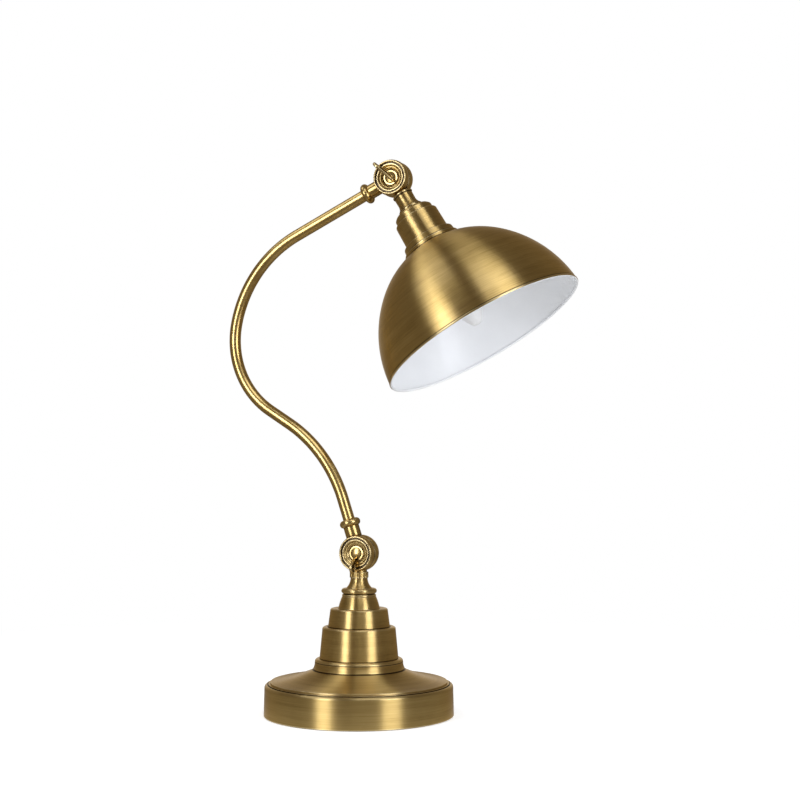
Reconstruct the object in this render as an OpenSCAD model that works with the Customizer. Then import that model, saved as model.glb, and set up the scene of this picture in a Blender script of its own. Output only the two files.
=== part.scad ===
// Dome shade desk lamp with an S-curved arm: a weighted drum base, a stepped
// pedestal, two clamped swivel joints and a spun dome shade.
// Frame: +Z up, origin at the centre of the base on the table. The arm and the
// shade lie in the XZ plane, the shade towards +X, the thumb keys face -Y.

/* [Base] */
// Diameter of the drum at the table
base_d = 160; // [140:1:200]
// Draft of the drum's side, radius lost from bottom to top
drum_draft = 0.6; // [0:0.1:2]
// Height of the drum's side above the felt's face
drum_h = 25.8; // [18:0.2:40]
// Radius of the drum's shoulder
shoulder_r = 2.4; // [1:0.1:4]
// Wall of the spun sheet of the base
sheet_t = 1.2; // [0.8:0.1:1.6]
// Thickness of the felt pad
felt_t = 2.2; // [1.5:0.1:4]
// How far the felt stands below the drum's edge
felt_proud = 0.6; // [0.4:0.1:1]
// Thickness of the cast weight's plate
weight_t = 8.6; // [6:0.2:10]

/* [Dish] */
// Diameter of the dished cover plate
dish_d = 149; // [130:1:150]
// Height that the dish rises from its edge to the foot ring
dish_rise = 9.9; // [6:0.1:14]
// Radius of the dish's concave curve
dish_curve_r = 107; // [80:1:200]

/* [Pedestal] */
// Wall of the hollow storeys of the pedestal
storey_wall = 2.4; // [1.6:0.1:3.2]
// Diameter of the foot ring
foot_ring_d = 77; // [72:0.5:90]
// Height of the foot ring
foot_ring_h = 9; // [6:0.1:14]
// Lower tier: diameter at its bottom
lower_tier_d = 66.6; // [60:0.2:70]
// Lower tier: diameter at its top
lower_tier_top_d = 61.6; // [55:0.2:66]
// Lower tier: height
lower_tier_h = 26.5; // [18:0.1:40]
// Middle tier: diameter at its bottom
middle_tier_d = 52.4; // [46:0.2:56]
// Middle tier: diameter at its top
middle_tier_top_d = 48.2; // [42:0.2:52]
// Middle tier: height
middle_tier_h = 15.4; // [10:0.1:24]
// Bell: diameter at its bottom
bell_d = 35; // [31:0.2:40]
// Bell: diameter at its top
bell_top_d = 28.6; // [25:0.2:30]
// Bell: height
bell_h = 10.2; // [7:0.1:16]
// Bead ring: diameter over the bead
bead_d = 30; // [27:0.2:34]
// Bead ring: diameter of the fillet ring below the bead
fillet_ring_d = 28.9; // [25:0.1:30]
// Bead ring: height
bead_ring_h = 6.7; // [5.6:0.1:10]
// Flared neck: diameter at its foot
neck_foot_d = 22.4; // [19:0.2:24]
// Flared neck: diameter at its top
neck_top_d = 14.4; // [14:0.1:15.6]
// Flared neck: height
neck_h = 8.8; // [6:0.1:12]
// Knurled collar: diameter
collar_d = 15.8; // [15:0.1:20]
// Knurled collar: height
collar_h = 5; // [3:0.1:8]
// Number of grooves in the knurled collar
collar_grooves = 22; // [12:1:36]
// Diameter of the threaded rod that holds the stack together
rod_d = 10; // [8:0.5:10]

/* [Swivel joints] */
// Greatest diameter of a swivel joint's discs
knuckle_d = 30.6; // [29.6:0.2:34]
// Radius of the convex curve on a disc's side
side_curve_r = 10; // [7:0.5:20]
// Width of a swivel joint over both rims
knuckle_w = 19; // [17:0.2:24]
// Gap between the lower joint's discs and the collar
throat_h = 0.4; // [0.3:0.1:6]
// Diameter of the lower joint's stems
lower_stem_d = 13.4; // [12.6:0.1:13.6]
// Diameter of the upper joint's stems
upper_stem_d = 12.4; // [12.2:0.1:13.6]
// Width of the raised rim on a disc's face
rim_w = 1.4; // [1:0.1:2]
// Width of the deep groove inside the rim
groove_w = 1.5; // [1:0.1:2]
// Depth of the deep groove
groove_depth = 2; // [1:0.1:3]
// Diameter of a thumb key's hub
key_hub_d = 13.2; // [11:0.1:14]
// Diameter of the screw that clamps a joint
screw_d = 4.8; // [4:0.1:5.5]
// Reach of a thumb key's lever from the joint's axis
lever_reach = 16.4; // [14:0.1:20]
// Width of a thumb key's lever
lever_w = 9.8; // [7:0.1:12]
// Thickness of a thumb key's lever
lever_t = 2.4; // [1.8:0.1:3.2]

/* [Arm] */
// Outside diameter of the arm's tube
tube_d = 10; // [8:0.1:10.4]
// Wall of the arm's tube
tube_wall = 1; // [0.8:0.1:1.5]
// Lean of the arm's foot away from the shade, from upright
arm_lean = 18.2; // [10:0.1:24]
// Straight length from the lower joint's axis to the first bend
foot_run = 48; // [44:0.5:70]
// Radius of the first bend, away from the shade
bend_1_r = 121; // [100:0.5:160]
// Angle of the first bend
bend_1_a = 39.5; // [30:0.1:50]
// Straight length between the first two bends
middle_run = 21.8; // [10:0.1:50]
// Radius of the second bend, back towards the shade
bend_2_r = 73.6; // [60:0.1:100]
// Angle of the second bend
bend_2_a = 68; // [55:0.1:75]
// Radius of the third bend
bend_3_r = 105.6; // [90:0.1:130]
// Angle of the third bend
bend_3_a = 53.7; // [45:0.1:60]
// Straight length from the third bend to the upper joint's axis
head_run = 100.1; // [90:0.1:130]
// Distance from the lower joint's axis to its bead ferrule
lower_ferrule_at = 26.6; // [24:0.1:34]
// Distance from the upper joint's axis to its bead ferrule
upper_ferrule_at = 26; // [25:0.1:38]
// Diameter of a bead ferrule
ferrule_d = 17.8; // [16:0.1:20]
// Length of a bead ferrule
ferrule_l = 6.4; // [5:0.1:8]

/* [Shade holder] */
// Tilt of the shade's axis from straight down
shade_tilt = 30.8; // [20:0.1:40]
// Distance along the shade's axis from the upper joint to the neck
neck_at = 16.1; // [15.7:0.1:20]
// Diameter of the neck at its waist
waist_d = 16.2; // [15:0.1:19]
// Diameter of the neck's end ring
neck_ring_d = 22; // [21:0.2:26]
// Length of the neck
holder_neck_l = 16.5; // [14:0.1:22]
// Diameter of the cup's shoulder piece
shoulder_d = 34; // [31:0.2:36]
// Length of the cup's shoulder piece
shoulder_l = 7.6; // [6:0.1:12]
// Diameter of the cup
cup_d = 39; // [37:0.2:44]
// Length of the cup
cup_l = 21.3; // [18:0.1:28]
// Wall of the cup and its shoulder piece
cup_wall = 1.1; // [0.8:0.1:1.6]
// Diameter of the gallery ring's flange on the shade
gallery_d = 50.4; // [49:0.2:60]

/* [Shade and bulb] */
// Diameter over the shade's rolled rim
shade_d = 178; // [170:1:200]
// Depth of the shade from crown to rim
shade_h = 91.3; // [84:0.1:105]
// Radius of the shade's crown
crown_r = 83.2; // [78:0.1:84]
// How far past the rim the side's widest point would lie
side_past = 5.2; // [3:0.1:10]
// Sheet of the shade
shade_t = 0.8; // [0.7:0.1:1.5]
// Radius of the rolled rim's wire edge
rim_bead_r = 1.1; // [0.9:0.1:2]
// Diameter of the hole in the shade's crown
shade_hole_d = 29; // [28:0.1:32]
// Greatest diameter of the candle bulb
bulb_d = 35; // [30:0.5:38]
// Length of the bulb from its contact to its tip
bulb_l = 100; // [92:0.5:106]

/* [Clearances] */
// Radial clearance of screws and rods in their holes
running_gap = 0.05; // [0.02:0.01:0.09]
// Gap between pieces that move past each other
moving_gap = 0.4; // [0.3:0.05:0.6]

/* [Hidden] */
$fn = 96;

brass = [0.72, 0.56, 0.27];
steel = [0.6, 0.6, 0.62];
iron = [0.25, 0.25, 0.26];
black_plastic = [0.08, 0.08, 0.08];

// Heights of the stack, from the table up
felt_z = 0;
shell_z = felt_proud;
weight_z = felt_z + felt_t;
ledge_z = shell_z + drum_h;          // top of the drum's shoulder
lip_h = 0.8;                         // raised lip that seats the dish's edge
dish_z = ledge_z + lip_h;            // underside of the dish's edge
dish_t = 1.4;                        // sheet of the dish
hub_z = dish_z + dish_t + dish_rise; // seat of the foot ring
lower_tier_z = hub_z + foot_ring_h;
middle_tier_z = lower_tier_z + lower_tier_h;
bell_z = middle_tier_z + middle_tier_h;
bead_ring_z = bell_z + bell_h;
neck_z = bead_ring_z + bead_ring_h;
collar_z = neck_z + neck_h;
collar_top_z = collar_z + collar_h;
joint_z = collar_top_z + throat_h + knuckle_d / 2;

// Drum and weight
base_r = base_d / 2;
drum_top_r = base_r - drum_draft;
lip_r = drum_top_r - shoulder_r - 0.9; // outside of the lip, past a narrow groove
lip_groove_w = 0.9;
lip_groove_depth = 0.5;
ledge_inner_r = lip_r - 8;             // bore of the drum's top
fit_gap = 0.5;                         // slack between the drum and what it holds
seat_gap = 0.02;                       // between the shade and what clamps it
weight_r = drum_top_r - sheet_t - fit_gap;
weight_rim_w = 6;                      // upright rim that carries the drum's top
weight_plate_z = weight_z + weight_t;
felt_r = base_r - drum_draft - sheet_t - fit_gap;
nut_pocket_r = 17;
nut_pocket_h = 5.4;
wire_hole_r = 4;
wire_hole_x = -11;

// Cord inlet through the back of the drum
inlet_z = (weight_plate_z + ledge_z) / 2 - 0.5;
inlet_r = 4.4;           // hole in the drum
inlet_bore_r = 3.4;      // hole for the cord
grommet_flange_r = 6.2;
grommet_flange_t = 1.6;
grommet_l = 7;

// Rod, nut and washer
rod_r = rod_d / 2;
rod_bore_r = rod_r - 1.6;
rod_hole_r = rod_r + running_gap;
washer_t = 1.4;
washer_r = 15;
nut_t = 3;
nut_across = 15;         // across corners
pocket_roof_z = weight_z + nut_pocket_h;
rod_from_z = pocket_roof_z - washer_t - nut_t;
rod_to_z = collar_z + 4;

// Swivel joints
knuckle_r = knuckle_d / 2;
face = knuckle_w / 2;                // distance of a rim from the parting plane
lower_stem_r = lower_stem_d / 2;
upper_stem_r = upper_stem_d / 2;
half_gap = moving_gap + 0.1;         // from the parting plane to a half's inner face
side_mid = (face + half_gap) / 2;    // widest plane of a half disc
rim_c = rim_w / 2;                   // rounding of the rim's edge
// Radius of the disc's side where the rim's rounding starts
face_r = knuckle_r - side_curve_r
    + sqrt(pow(side_curve_r, 2) - pow(face - rim_c - side_mid, 2));
groove_r = face_r - rim_w;           // outside of the deep groove
ring_r = groove_r - groove_w;        // outside of the convex ring
key_hub_r = key_hub_d / 2;
seat_r = key_hub_r + 0.5;            // recess for the hub and the nut
seat_depth = 1;
screw_r = screw_d / 2;
screw_hole_r = screw_r + running_gap;
chamber_r = knuckle_r - 4;           // room for the leads round the screw
chamber_depth = face - 4.2;
friction_t = moving_gap + 0.2;
wire_way_r = 2.1;
wire_way_y = -0.9 - wire_way_r;      // the leads keep to their own half
socket_r = rod_r + running_gap;      // tapped end of a stem
cap_nut_r = 5.6;
cap_nut_t = 2.4;
lever_rise = 0.7;                    // height of the lever's edge above the rim

// The arm's centre line in the XZ plane, directions counted from +X
function toward(a) = [cos(a), sin(a)];
function after_left(p, dir, r, a) = p + r * toward(dir + 90) - r * toward(dir + a + 90);
function after_right(p, dir, r, a) = p - r * toward(dir + 90) + r * toward(dir - a + 90);
dir_0 = 90 + arm_lean;
dir_1 = dir_0 + bend_1_a;
dir_2 = dir_1 - bend_2_a;
dir_3 = dir_2 - bend_3_a;
lower_joint = [0, joint_z];
bend_1_from = lower_joint + foot_run * toward(dir_0);
bend_1_to = after_left(bend_1_from, dir_0, bend_1_r, bend_1_a);
bend_2_from = bend_1_to + middle_run * toward(dir_1);
bend_2_to = after_right(bend_2_from, dir_1, bend_2_r, bend_2_a);
bend_3_to = after_right(bend_2_to, dir_2, bend_3_r, bend_3_a);
upper_joint = bend_3_to + head_run * toward(dir_3);
tube_r = tube_d / 2;
tube_hole_r = tube_r + running_gap;
socket_depth = 6;
lower_stem_l = lower_ferrule_at - ferrule_l / 2;
upper_stem_l = upper_ferrule_at - ferrule_l / 2;
tube_foot = lower_stem_l - socket_depth;
tube_head = upper_stem_l - socket_depth;
run_lap = 0.5;                       // how far neighbouring runs of the tube lap
run_swell = 0.02;                    // extra wall of every second run

// Shade holder, distances along the shade's axis from the upper joint
neck_end = neck_at + holder_neck_l;
cup_at = neck_end + shoulder_l;
cup_end = cup_at + cup_l;
gallery_band = 5.7;                  // height of the gallery's band above its flange
crown_at = cup_end + 5.4;
crown_centre = crown_at + crown_r;
rim_at = crown_at + shade_h;
shade_r = shade_d / 2;
side_max_r = shade_r - 0.2;          // where the side would be widest
side_centre_s = rim_at + side_past;
side_reach = side_centre_s - crown_centre;
// Radius of the side's curve, so that it runs smoothly out of the crown's
side_r = (side_reach * side_reach + side_max_r * side_max_r - crown_r * crown_r)
    / (2 * (side_max_r - crown_r));
side_centre_r = side_max_r - side_r;
// The two curves meet where the line through both centres meets them
meet_a = atan2(-side_centre_r, side_reach);
meet_s = crown_centre - crown_r * cos(meet_a);
hole_r = shade_hole_d / 2;
spigot_l = 6;                        // stem inside the neck
nipple_from = neck_at + spigot_l - 3;
nipple_to = cup_at + 5;
holder_floor = nipple_to + 1;        // end of the wall behind the contacts
bulb_foot = holder_floor + 1;
bulb_tip = bulb_foot + bulb_l;
holder_r = hole_r - 1;
holder_from = nipple_to - 3.4;
holder_to = cup_end + 9;
holder_flange_r = cup_d / 2 - 2.2;
holder_flange_t = 2.5;
holder_shell_r = 7.6;
holder_mouth_r = holder_r - 1.5;      // wide end round the foot of the bulb's glass
cap_r = 6.9;
cap_l = 17;
glass_at = bulb_foot + cap_l;        // lower end of the bulb's glass
shade_ring_t = 3.4;
shade_ring_r = hole_r + 6.5;

// ---- helpers ----

// A turned piece: its profile in radius and height, spun round Z
module turned() rotate_extrude($fn = 128) children();

// Profile of a tapered drum with a rounded top edge
module tapered(bottom_r, top_r, h, edge_r) {
    polygon([[0, 0], [bottom_r, 0], [top_r, h - edge_r], [0, h - edge_r]]);
    square([top_r - edge_r, h]);
    translate([top_r - edge_r, h - edge_r]) circle(edge_r);
}

// The same, open from below, with a top plate that the rod's nut pulls down
module hollow_tier(bottom_r, top_r, h, edge_r) difference() {
    tapered(bottom_r, top_r, h, edge_r);
    polygon([
        [0, 0], [bottom_r - storey_wall, 0],
        [top_r - storey_wall, h - storey_wall], [0, h - storey_wall]
    ]);
}

// Hole down the middle of a stacked piece, for the rod
module rod_hole(from_z, to_z)
    translate([0, 0, from_z - 1]) cylinder(r = rod_hole_r, h = to_z - from_z + 2);

// One storey of the pedestal: a turned profile at its height, with the rod's hole
module storey(z, h) difference() {
    translate([0, 0, z]) turned() children();
    rod_hole(z, z + h);
}

// Frames: Z along the arm's stem, along its head end, and along the shade's axis
module at_lower_joint() translate([lower_joint[0], 0, lower_joint[1]]) children();
module at_upper_joint() translate([upper_joint[0], 0, upper_joint[1]]) children();
module along(dir) rotate([0, 90 - dir, 0]) children();
module along_shade() at_upper_joint() rotate([0, 180 - shade_tilt, 0]) children();

// ---- base ----

module felt_pad() color([0.12, 0.12, 0.12]) cylinder(r = felt_r, h = felt_t);

// Outline of the drum's outside, filled to the axis
module drum_outline(inset) {
    side_top = ledge_z - shoulder_r;
    corner_r = shoulder_r - inset;
    polygon([
        [0, shell_z - inset], [base_r - inset, shell_z - inset],
        [drum_top_r - inset, side_top], [0, side_top]
    ]);
    square([drum_top_r - shoulder_r, ledge_z - inset]);
    translate([drum_top_r - shoulder_r, side_top]) circle(corner_r);
}

module drum_shell() color(brass) difference() {
    turned() difference() {
        union() {
            intersection() {
                drum_outline(0);
                translate([0, shell_z]) square([base_r + 1, drum_h + 1]);
            }
            square([lip_r, dish_z]);
        }
        // hollow below the top, and the bore of the top
        drum_outline(sheet_t);
        square([ledge_inner_r, dish_z + 1]);
        square([base_r - sheet_t * 2, shell_z]);
        // narrow groove between the shoulder and the lip
        translate([lip_r, ledge_z - lip_groove_depth])
            square([lip_groove_w, lip_groove_depth + lip_h + 1]);
    }
    translate([-base_r, 0, inlet_z]) rotate([0, 90, 0])
        cylinder(r = inlet_r, h = 4 * sheet_t, center = true);
}

module base_weight() color(iron) difference() {
    union() {
        translate([0, 0, weight_z]) cylinder(r = weight_r, h = weight_t);
        // upright rim under the drum's top
        translate([0, 0, weight_z]) difference() {
            cylinder(r = weight_r - shoulder_r, h = ledge_z - sheet_t - weight_z);
            translate([0, 0, weight_t])
                cylinder(r = weight_r - shoulder_r - weight_rim_w, h = ledge_z);
        }
        translate([0, 0, weight_z]) cylinder(r = nut_pocket_r + 3, h = weight_t + 2);
    }
    rod_hole(0, ledge_z);
    translate([0, 0, weight_z - 1]) cylinder(r = nut_pocket_r, h = nut_pocket_h + 1);
    // the leads pass from the room above the plate to the rod's lower end
    translate([wire_hole_x, 0, 0]) cylinder(r = wire_hole_r, h = ledge_z);
    // notch in the rim behind the cord's inlet
    translate([-base_r, -grommet_flange_r - fit_gap, weight_plate_z])
        cube([base_r / 2, 2 * (grommet_flange_r + fit_gap), ledge_z]);
}

module dish_cover() color(brass) {
    edge_r = dish_d / 2;
    edge_top = dish_z + dish_t;
    seat_ring_r = foot_ring_d / 2;
    // centre of the concave curve through the edge and the foot ring's seat
    chord = [edge_r - seat_ring_r, dish_rise];
    chord_l = norm(chord);
    mid = [(edge_r + seat_ring_r) / 2, edge_top + dish_rise / 2];
    back = sqrt(dish_curve_r * dish_curve_r - chord_l * chord_l / 4);
    centre = mid + back / chord_l * [dish_rise, chord[0]];
    storey(0, hub_z) {
        difference() {
            translate([seat_ring_r - 0.5, dish_z])
                square([edge_r - seat_ring_r + 0.5, dish_rise + dish_t]);
            translate(centre) circle(dish_curve_r, $fn = 256);
            difference() {
                translate([0, dish_z - 2]) square([edge_r + 1, hub_z]);
                translate(centre) circle(dish_curve_r + dish_t, $fn = 256);
            }
        }
        translate([0, hub_z - dish_t]) square([seat_ring_r, dish_t]);
    }
}

// Rubber bush in the back of the drum, turned about its own axis
module cord_grommet() color(black_plastic)
    translate([-base_r - grommet_flange_t, 0, inlet_z]) rotate([0, 90, 0]) turned()
        difference() {
            union() {
                square([grommet_flange_r - 0.6, grommet_flange_t]);
                translate([0, 0.6]) square([grommet_flange_r, grommet_flange_t - 0.6]);
                translate([grommet_flange_r - 0.6, 0.6]) circle(0.6);
                square([inlet_r - running_gap, grommet_l]);
            }
            translate([0, -1]) square([inlet_bore_r, grommet_l + 2]);
        }

module rod_washer() color(steel) translate([0, 0, pocket_roof_z - washer_t]) difference() {
    cylinder(r = washer_r, h = washer_t);
    translate([0, 0, -1]) cylinder(r = rod_hole_r, h = washer_t + 2);
    translate([wire_hole_x, 0, -1]) cylinder(r = wire_hole_r - 0.6, h = washer_t + 2);
}

module rod_nut() color(steel) translate([0, 0, rod_from_z]) difference() {
    cylinder(d = nut_across, h = nut_t, $fn = 6);
    translate([0, 0, -1]) cylinder(r = rod_hole_r, h = nut_t + 2, $fn = 64);
}

module threaded_rod() color(steel) translate([0, 0, rod_from_z]) difference() {
    cylinder(r = rod_r, h = rod_to_z - rod_from_z);
    translate([0, 0, -1]) cylinder(r = rod_bore_r, h = rod_to_z);
}

// ---- pedestal ----

module foot_ring() color(brass) storey(hub_z, foot_ring_h) difference() {
    r = foot_ring_d / 2;
    flare_r = foot_ring_h;
    union() {
        square([r, foot_ring_h - 2.4]);
        tapered(r - 0.5, r - 1.3, foot_ring_h, 2.2);
    }
    // shallow hollow in the side
    translate([r + flare_r - 1.2, foot_ring_h * 0.62]) circle(flare_r);
    // fine line under the rounded edge
    translate([r - 1.6, foot_ring_h - 2.7]) square([2, 0.4]);
    // the ring carries the tier's wall and is open inside it
    square([lower_tier_d / 2 - 2 * storey_wall, foot_ring_h]);
}

module lower_tier() color(brass) storey(lower_tier_z, lower_tier_h)
    hollow_tier(lower_tier_d / 2, lower_tier_top_d / 2, lower_tier_h, 1.6);

module middle_tier() color(brass) storey(middle_tier_z, middle_tier_h)
    hollow_tier(middle_tier_d / 2, middle_tier_top_d / 2, middle_tier_h, 1.4);

module bell() color(brass) storey(bell_z, bell_h) {
    // side that swells slightly between the two diameters
    swell = 0.3;
    run = [bell_d / 2 - bell_top_d / 2, bell_h];
    half = norm(run) / 2;
    bow_r = (half * half + swell * swell) / (2 * swell);
    mid = [(bell_d + bell_top_d) / 4, bell_h / 2];
    polygon([[0, 0], [bell_d / 2, 0], [bell_top_d / 2, bell_h], [0, bell_h]]);
    intersection() {
        square([bell_d, bell_h]);
        translate(mid - (bow_r - swell) / (2 * half) * [run[1], run[0]]) circle(bow_r, $fn = 256);
    }
}

module bead_ring() color(brass) storey(bead_ring_z, bead_ring_h) {
    bead_r = 2.2;
    fillet_h = bead_ring_h - 2 * bead_r - 0.5;
    square([fillet_ring_d / 2 - 0.3, fillet_h]);
    translate([fillet_ring_d / 2 - fillet_h / 2, fillet_h / 2]) circle(fillet_h / 2);
    square([bead_d / 2 - 1.4, bead_ring_h]);
    translate([bead_d / 2 - bead_r, bead_ring_h - bead_r]) circle(bead_r);
}

module flared_neck() color(brass) storey(neck_z, neck_h) difference() {
    foot_r = neck_foot_d / 2;
    top_r = neck_top_d / 2;
    hollow = foot_r - top_r;
    // the flare's curve starts level at the foot and ends upright at the top
    curve_r = (hollow * hollow + neck_h * neck_h) / (2 * hollow);
    square([foot_r, neck_h]);
    translate([top_r + curve_r, neck_h]) circle(curve_r, $fn = 256);
}

// Sleeve round the foot of the lower joint's stem
module knurled_collar() color(brass) difference() {
    translate([0, 0, collar_z]) turned() difference() {
        union() {
            square([collar_d / 2 - 0.5, collar_h]);
            translate([0, 0.5]) square([collar_d / 2, collar_h - 1]);
        }
        translate([0, -1]) square([lower_stem_r + running_gap, collar_h + 2]);
    }
    groove_w = PI * collar_d / collar_grooves * 0.36;
    for (i = [0 : collar_grooves - 1])
        rotate([0, 0, i * 360 / collar_grooves])
            translate([collar_d / 2, 0, collar_z + 0.9]) rotate([0, 0, 45])
                cube([groove_w, groove_w, 2 * collar_h - 3.6], center = true);
}

// ---- swivel joints ----

// Profile of a joint's half disc: radius and distance from the parting plane
module disc_profile() {
    ring_w = ring_r - seat_r;
    swell_r = ring_w * 0.7;
    floor_at = face - groove_depth;
    difference() {
        union() {
            // body with a convex side
            intersection() {
                translate([0, half_gap]) square([knuckle_r, face - rim_c - half_gap]);
                translate([knuckle_r - side_curve_r, side_mid]) circle(side_curve_r);
            }
            translate([face_r - rim_c, face - rim_c]) circle(rim_c);
        }
        // deep groove, and all that lies above the hub's seat
        translate([ring_r, floor_at]) square([groove_w, face]);
        translate([0, face - seat_depth]) square([groove_r, face]);
    }
    // broad convex ring with a fine line round it
    difference() {
        intersection() {
            translate([seat_r, floor_at - 0.5]) square([ring_w, face]);
            translate([seat_r + ring_w / 2, face - 0.1 - swell_r]) circle(swell_r);
        }
        translate([seat_r + ring_w * 0.36, face - 0.1]) rotate(45) square(0.7, center = true);
    }
}

// Half of a joint: a disc on the -Y side of the parting plane, and a stem along +Z
// that is whole only past the other half's disc
module knuckle_half(stem_r, stem_l, end_socket_r, end_socket_l) {
    clear_r = knuckle_r + moving_gap;
    root = screw_hole_r + 3;
    difference() {
        union() {
            rotate([90, 0, 0]) turned() disc_profile();
            difference() {
                translate([0, 0, root]) cylinder(r = stem_r, h = stem_l - root);
                translate([0, face - half_gap, 0]) rotate([90, 0, 0])
                    cylinder(r = clear_r, h = face);
            }
        }
        // the screw's hole, and the room for the leads round it
        rotate([90, 0, 0]) cylinder(r = screw_hole_r, h = 2 * face);
        rotate([90, 0, 0]) turned() translate([screw_r + 1.8, 0])
            square([chamber_r - screw_r - 1.8, chamber_depth]);
        translate([0, wire_way_y, root + 1]) cylinder(r = wire_way_r, h = stem_l);
        translate([0, 0, stem_l - end_socket_l]) cylinder(r = end_socket_r, h = end_socket_l + 1);
    }
}

// Ring between the halves, inside their rims and round the leads
module friction_ring() rotate([90, 0, 0]) turned()
    translate([chamber_r + 0.4, half_gap - friction_t])
        square([knuckle_r - chamber_r - 2, friction_t]);

// Outline of a key's lever: along the reach, and out from the hub
module lever_outline(inset) {
    tip_r = lever_w / 2 - inset;
    tip = [lever_reach - lever_w / 2, face + lever_rise + lever_w / 2];
    root_x = -key_hub_r + 0.8 + inset;
    root_y = face + lever_rise + inset;
    translate(tip) circle(tip_r);
    // low ridge across the hub that rises to the lever's end
    polygon([
        [root_x, root_y], [tip[0], root_y], [tip[0], tip[1] + tip_r],
        [tip[0] - tip_r * 0.7, tip[1] + tip_r * 0.7], [key_hub_r * 0.4, root_y + 4.2 - inset],
        [0, root_y + 3.4 - inset], [root_x, root_y + 1.2 - inset]
    ]);
}

// Thumb key: hub, lever and screw cast in one, turning about the joint's axis
module thumb_key(lever_dir) rotate([90, 0, 0]) rotate([0, 0, lever_dir]) {
    hub_from = face - seat_depth + moving_gap;
    hub_top = face + 1.6;
    dome_r = key_hub_r * 1.15;
    turned() {
        translate([0, hub_from]) square([key_hub_r, hub_top - hub_from - 0.5]);
        translate([0, hub_from]) square([key_hub_r - 0.5, hub_top - hub_from]);
        translate([key_hub_r - 0.5, hub_top - 0.5]) circle(0.5);
        intersection() {
            translate([0, hub_from]) square([key_hub_r - 1.2, key_hub_r + 4]);
            translate([0, hub_top + 2 - dome_r]) circle(dome_r);
        }
    }
    rotate([90, 0, 0]) difference() {
        linear_extrude(lever_t, center = true) lever_outline(0);
        for (side = [-1, 1]) translate([0, 0, side * lever_t / 2])
            linear_extrude(0.7, center = true) intersection() {
                lever_outline(1.1);
                translate([key_hub_r + 0.6, 0]) square([lever_reach, 4 * face]);
            }
    }
    translate([0, 0, -face - 0.8]) cylinder(r = screw_r, h = 2 * face + 2);
}

// Domed nut on the far side of a joint
module cap_nut() rotate([-90, 0, 0]) difference() {
    nut_from = face - seat_depth;
    turned() {
        translate([0, nut_from]) square([cap_nut_r, cap_nut_t]);
        intersection() {
            translate([0, nut_from]) square([cap_nut_r - 0.6, 3 * cap_nut_t]);
            translate([0, nut_from + 2 * cap_nut_t - cap_nut_r]) circle(cap_nut_r);
        }
    }
    translate([0, 0, nut_from - 1]) cylinder(r = screw_hole_r, h = 3.2);
}

// Bead ferrule on the tube, against the end of a stem
module bead_ferrule(at) translate([0, 0, at - ferrule_l / 2]) turned() difference() {
    bead_r = ferrule_l / 2;
    union() {
        translate([ferrule_d / 2 - bead_r, bead_r]) circle(bead_r);
        square([ferrule_d / 2 - bead_r, ferrule_l]);
    }
    translate([0, -1]) square([tube_hole_r, ferrule_l + 2]);
}

module lower_knuckle_base() color(brass) at_lower_joint() rotate([0, 180, 0])
    knuckle_half(lower_stem_r, joint_z - collar_z, socket_r, rod_to_z - collar_z);

module lower_friction_ring() color(black_plastic) at_lower_joint() friction_ring();
module lower_key() color(brass) at_lower_joint() thumb_key(-90);

module lower_knuckle_arm() color(brass) at_lower_joint() along(dir_0) mirror([0, 1, 0])
    knuckle_half(lower_stem_r, lower_stem_l, tube_hole_r, socket_depth);

module lower_cap_nut() color(brass) at_lower_joint() cap_nut();

module lower_ferrule() color(brass) at_lower_joint() along(dir_0) bead_ferrule(lower_ferrule_at);

// ---- arm ----

// A straight length of tube along Z
module straight_tube(l, swell) difference() {
    cylinder(r = tube_r + swell, h = l);
    translate([0, 0, -1]) cylinder(r = tube_r - tube_wall - swell, h = l + 2);
}

// A bent length of tube that starts along Z and curves towards -X, with a lap of
// some degrees added at both ends
module bent_tube(r, a, swell, lap_a) translate([-r, 0, 0]) rotate([90, 0, 0])
    rotate([0, 0, -lap_a]) rotate_extrude(angle = a + 2 * lap_a, $fn = 120)
        translate([r, 0]) difference() {
            circle(tube_r + swell, $fn = 40);
            circle(tube_r - tube_wall - swell, $fn = 40);
        }

// The runs of the tube lap into each other. Every second run is drawn thicker by
// the swell, so that it holds the ends of its neighbours and all are one solid.
module arm_tube() color(brass) {
    bend_3_lap = run_lap / bend_3_r * 180 / PI;
    at_lower_joint() along(dir_0) translate([0, 0, tube_foot])
        straight_tube(foot_run - tube_foot + run_lap, 0);
    translate([bend_1_from[0], 0, bend_1_from[1]]) along(dir_0)
        bent_tube(bend_1_r, bend_1_a, run_swell, 0);
    translate([bend_1_to[0], 0, bend_1_to[1]]) along(dir_1) translate([0, 0, -run_lap])
        straight_tube(middle_run + 2 * run_lap, 0);
    translate([bend_2_from[0], 0, bend_2_from[1]]) along(dir_1) mirror([1, 0, 0])
        bent_tube(bend_2_r, bend_2_a, run_swell, 0);
    translate([bend_2_to[0], 0, bend_2_to[1]]) along(dir_2) mirror([1, 0, 0])
        bent_tube(bend_3_r, bend_3_a, 0, bend_3_lap);
    translate([bend_3_to[0], 0, bend_3_to[1]]) along(dir_3)
        straight_tube(head_run - tube_head, run_swell);
}

module upper_ferrule() color(brass) at_upper_joint() along(dir_3 + 180)
    bead_ferrule(upper_ferrule_at);

module upper_knuckle_arm() color(brass) at_upper_joint() along(dir_3 + 180)
    knuckle_half(upper_stem_r, upper_stem_l, tube_hole_r, socket_depth);

module upper_friction_ring() color(black_plastic) at_upper_joint() friction_ring();
module upper_key() color(brass) at_upper_joint() thumb_key(136);

// ---- shade holder ----

module upper_knuckle_head() color(brass) along_shade() mirror([0, 1, 0])
    knuckle_half(upper_stem_r, neck_at + spigot_l, socket_r, 3);

module upper_cap_nut() color(brass) at_upper_joint() cap_nut();

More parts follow.
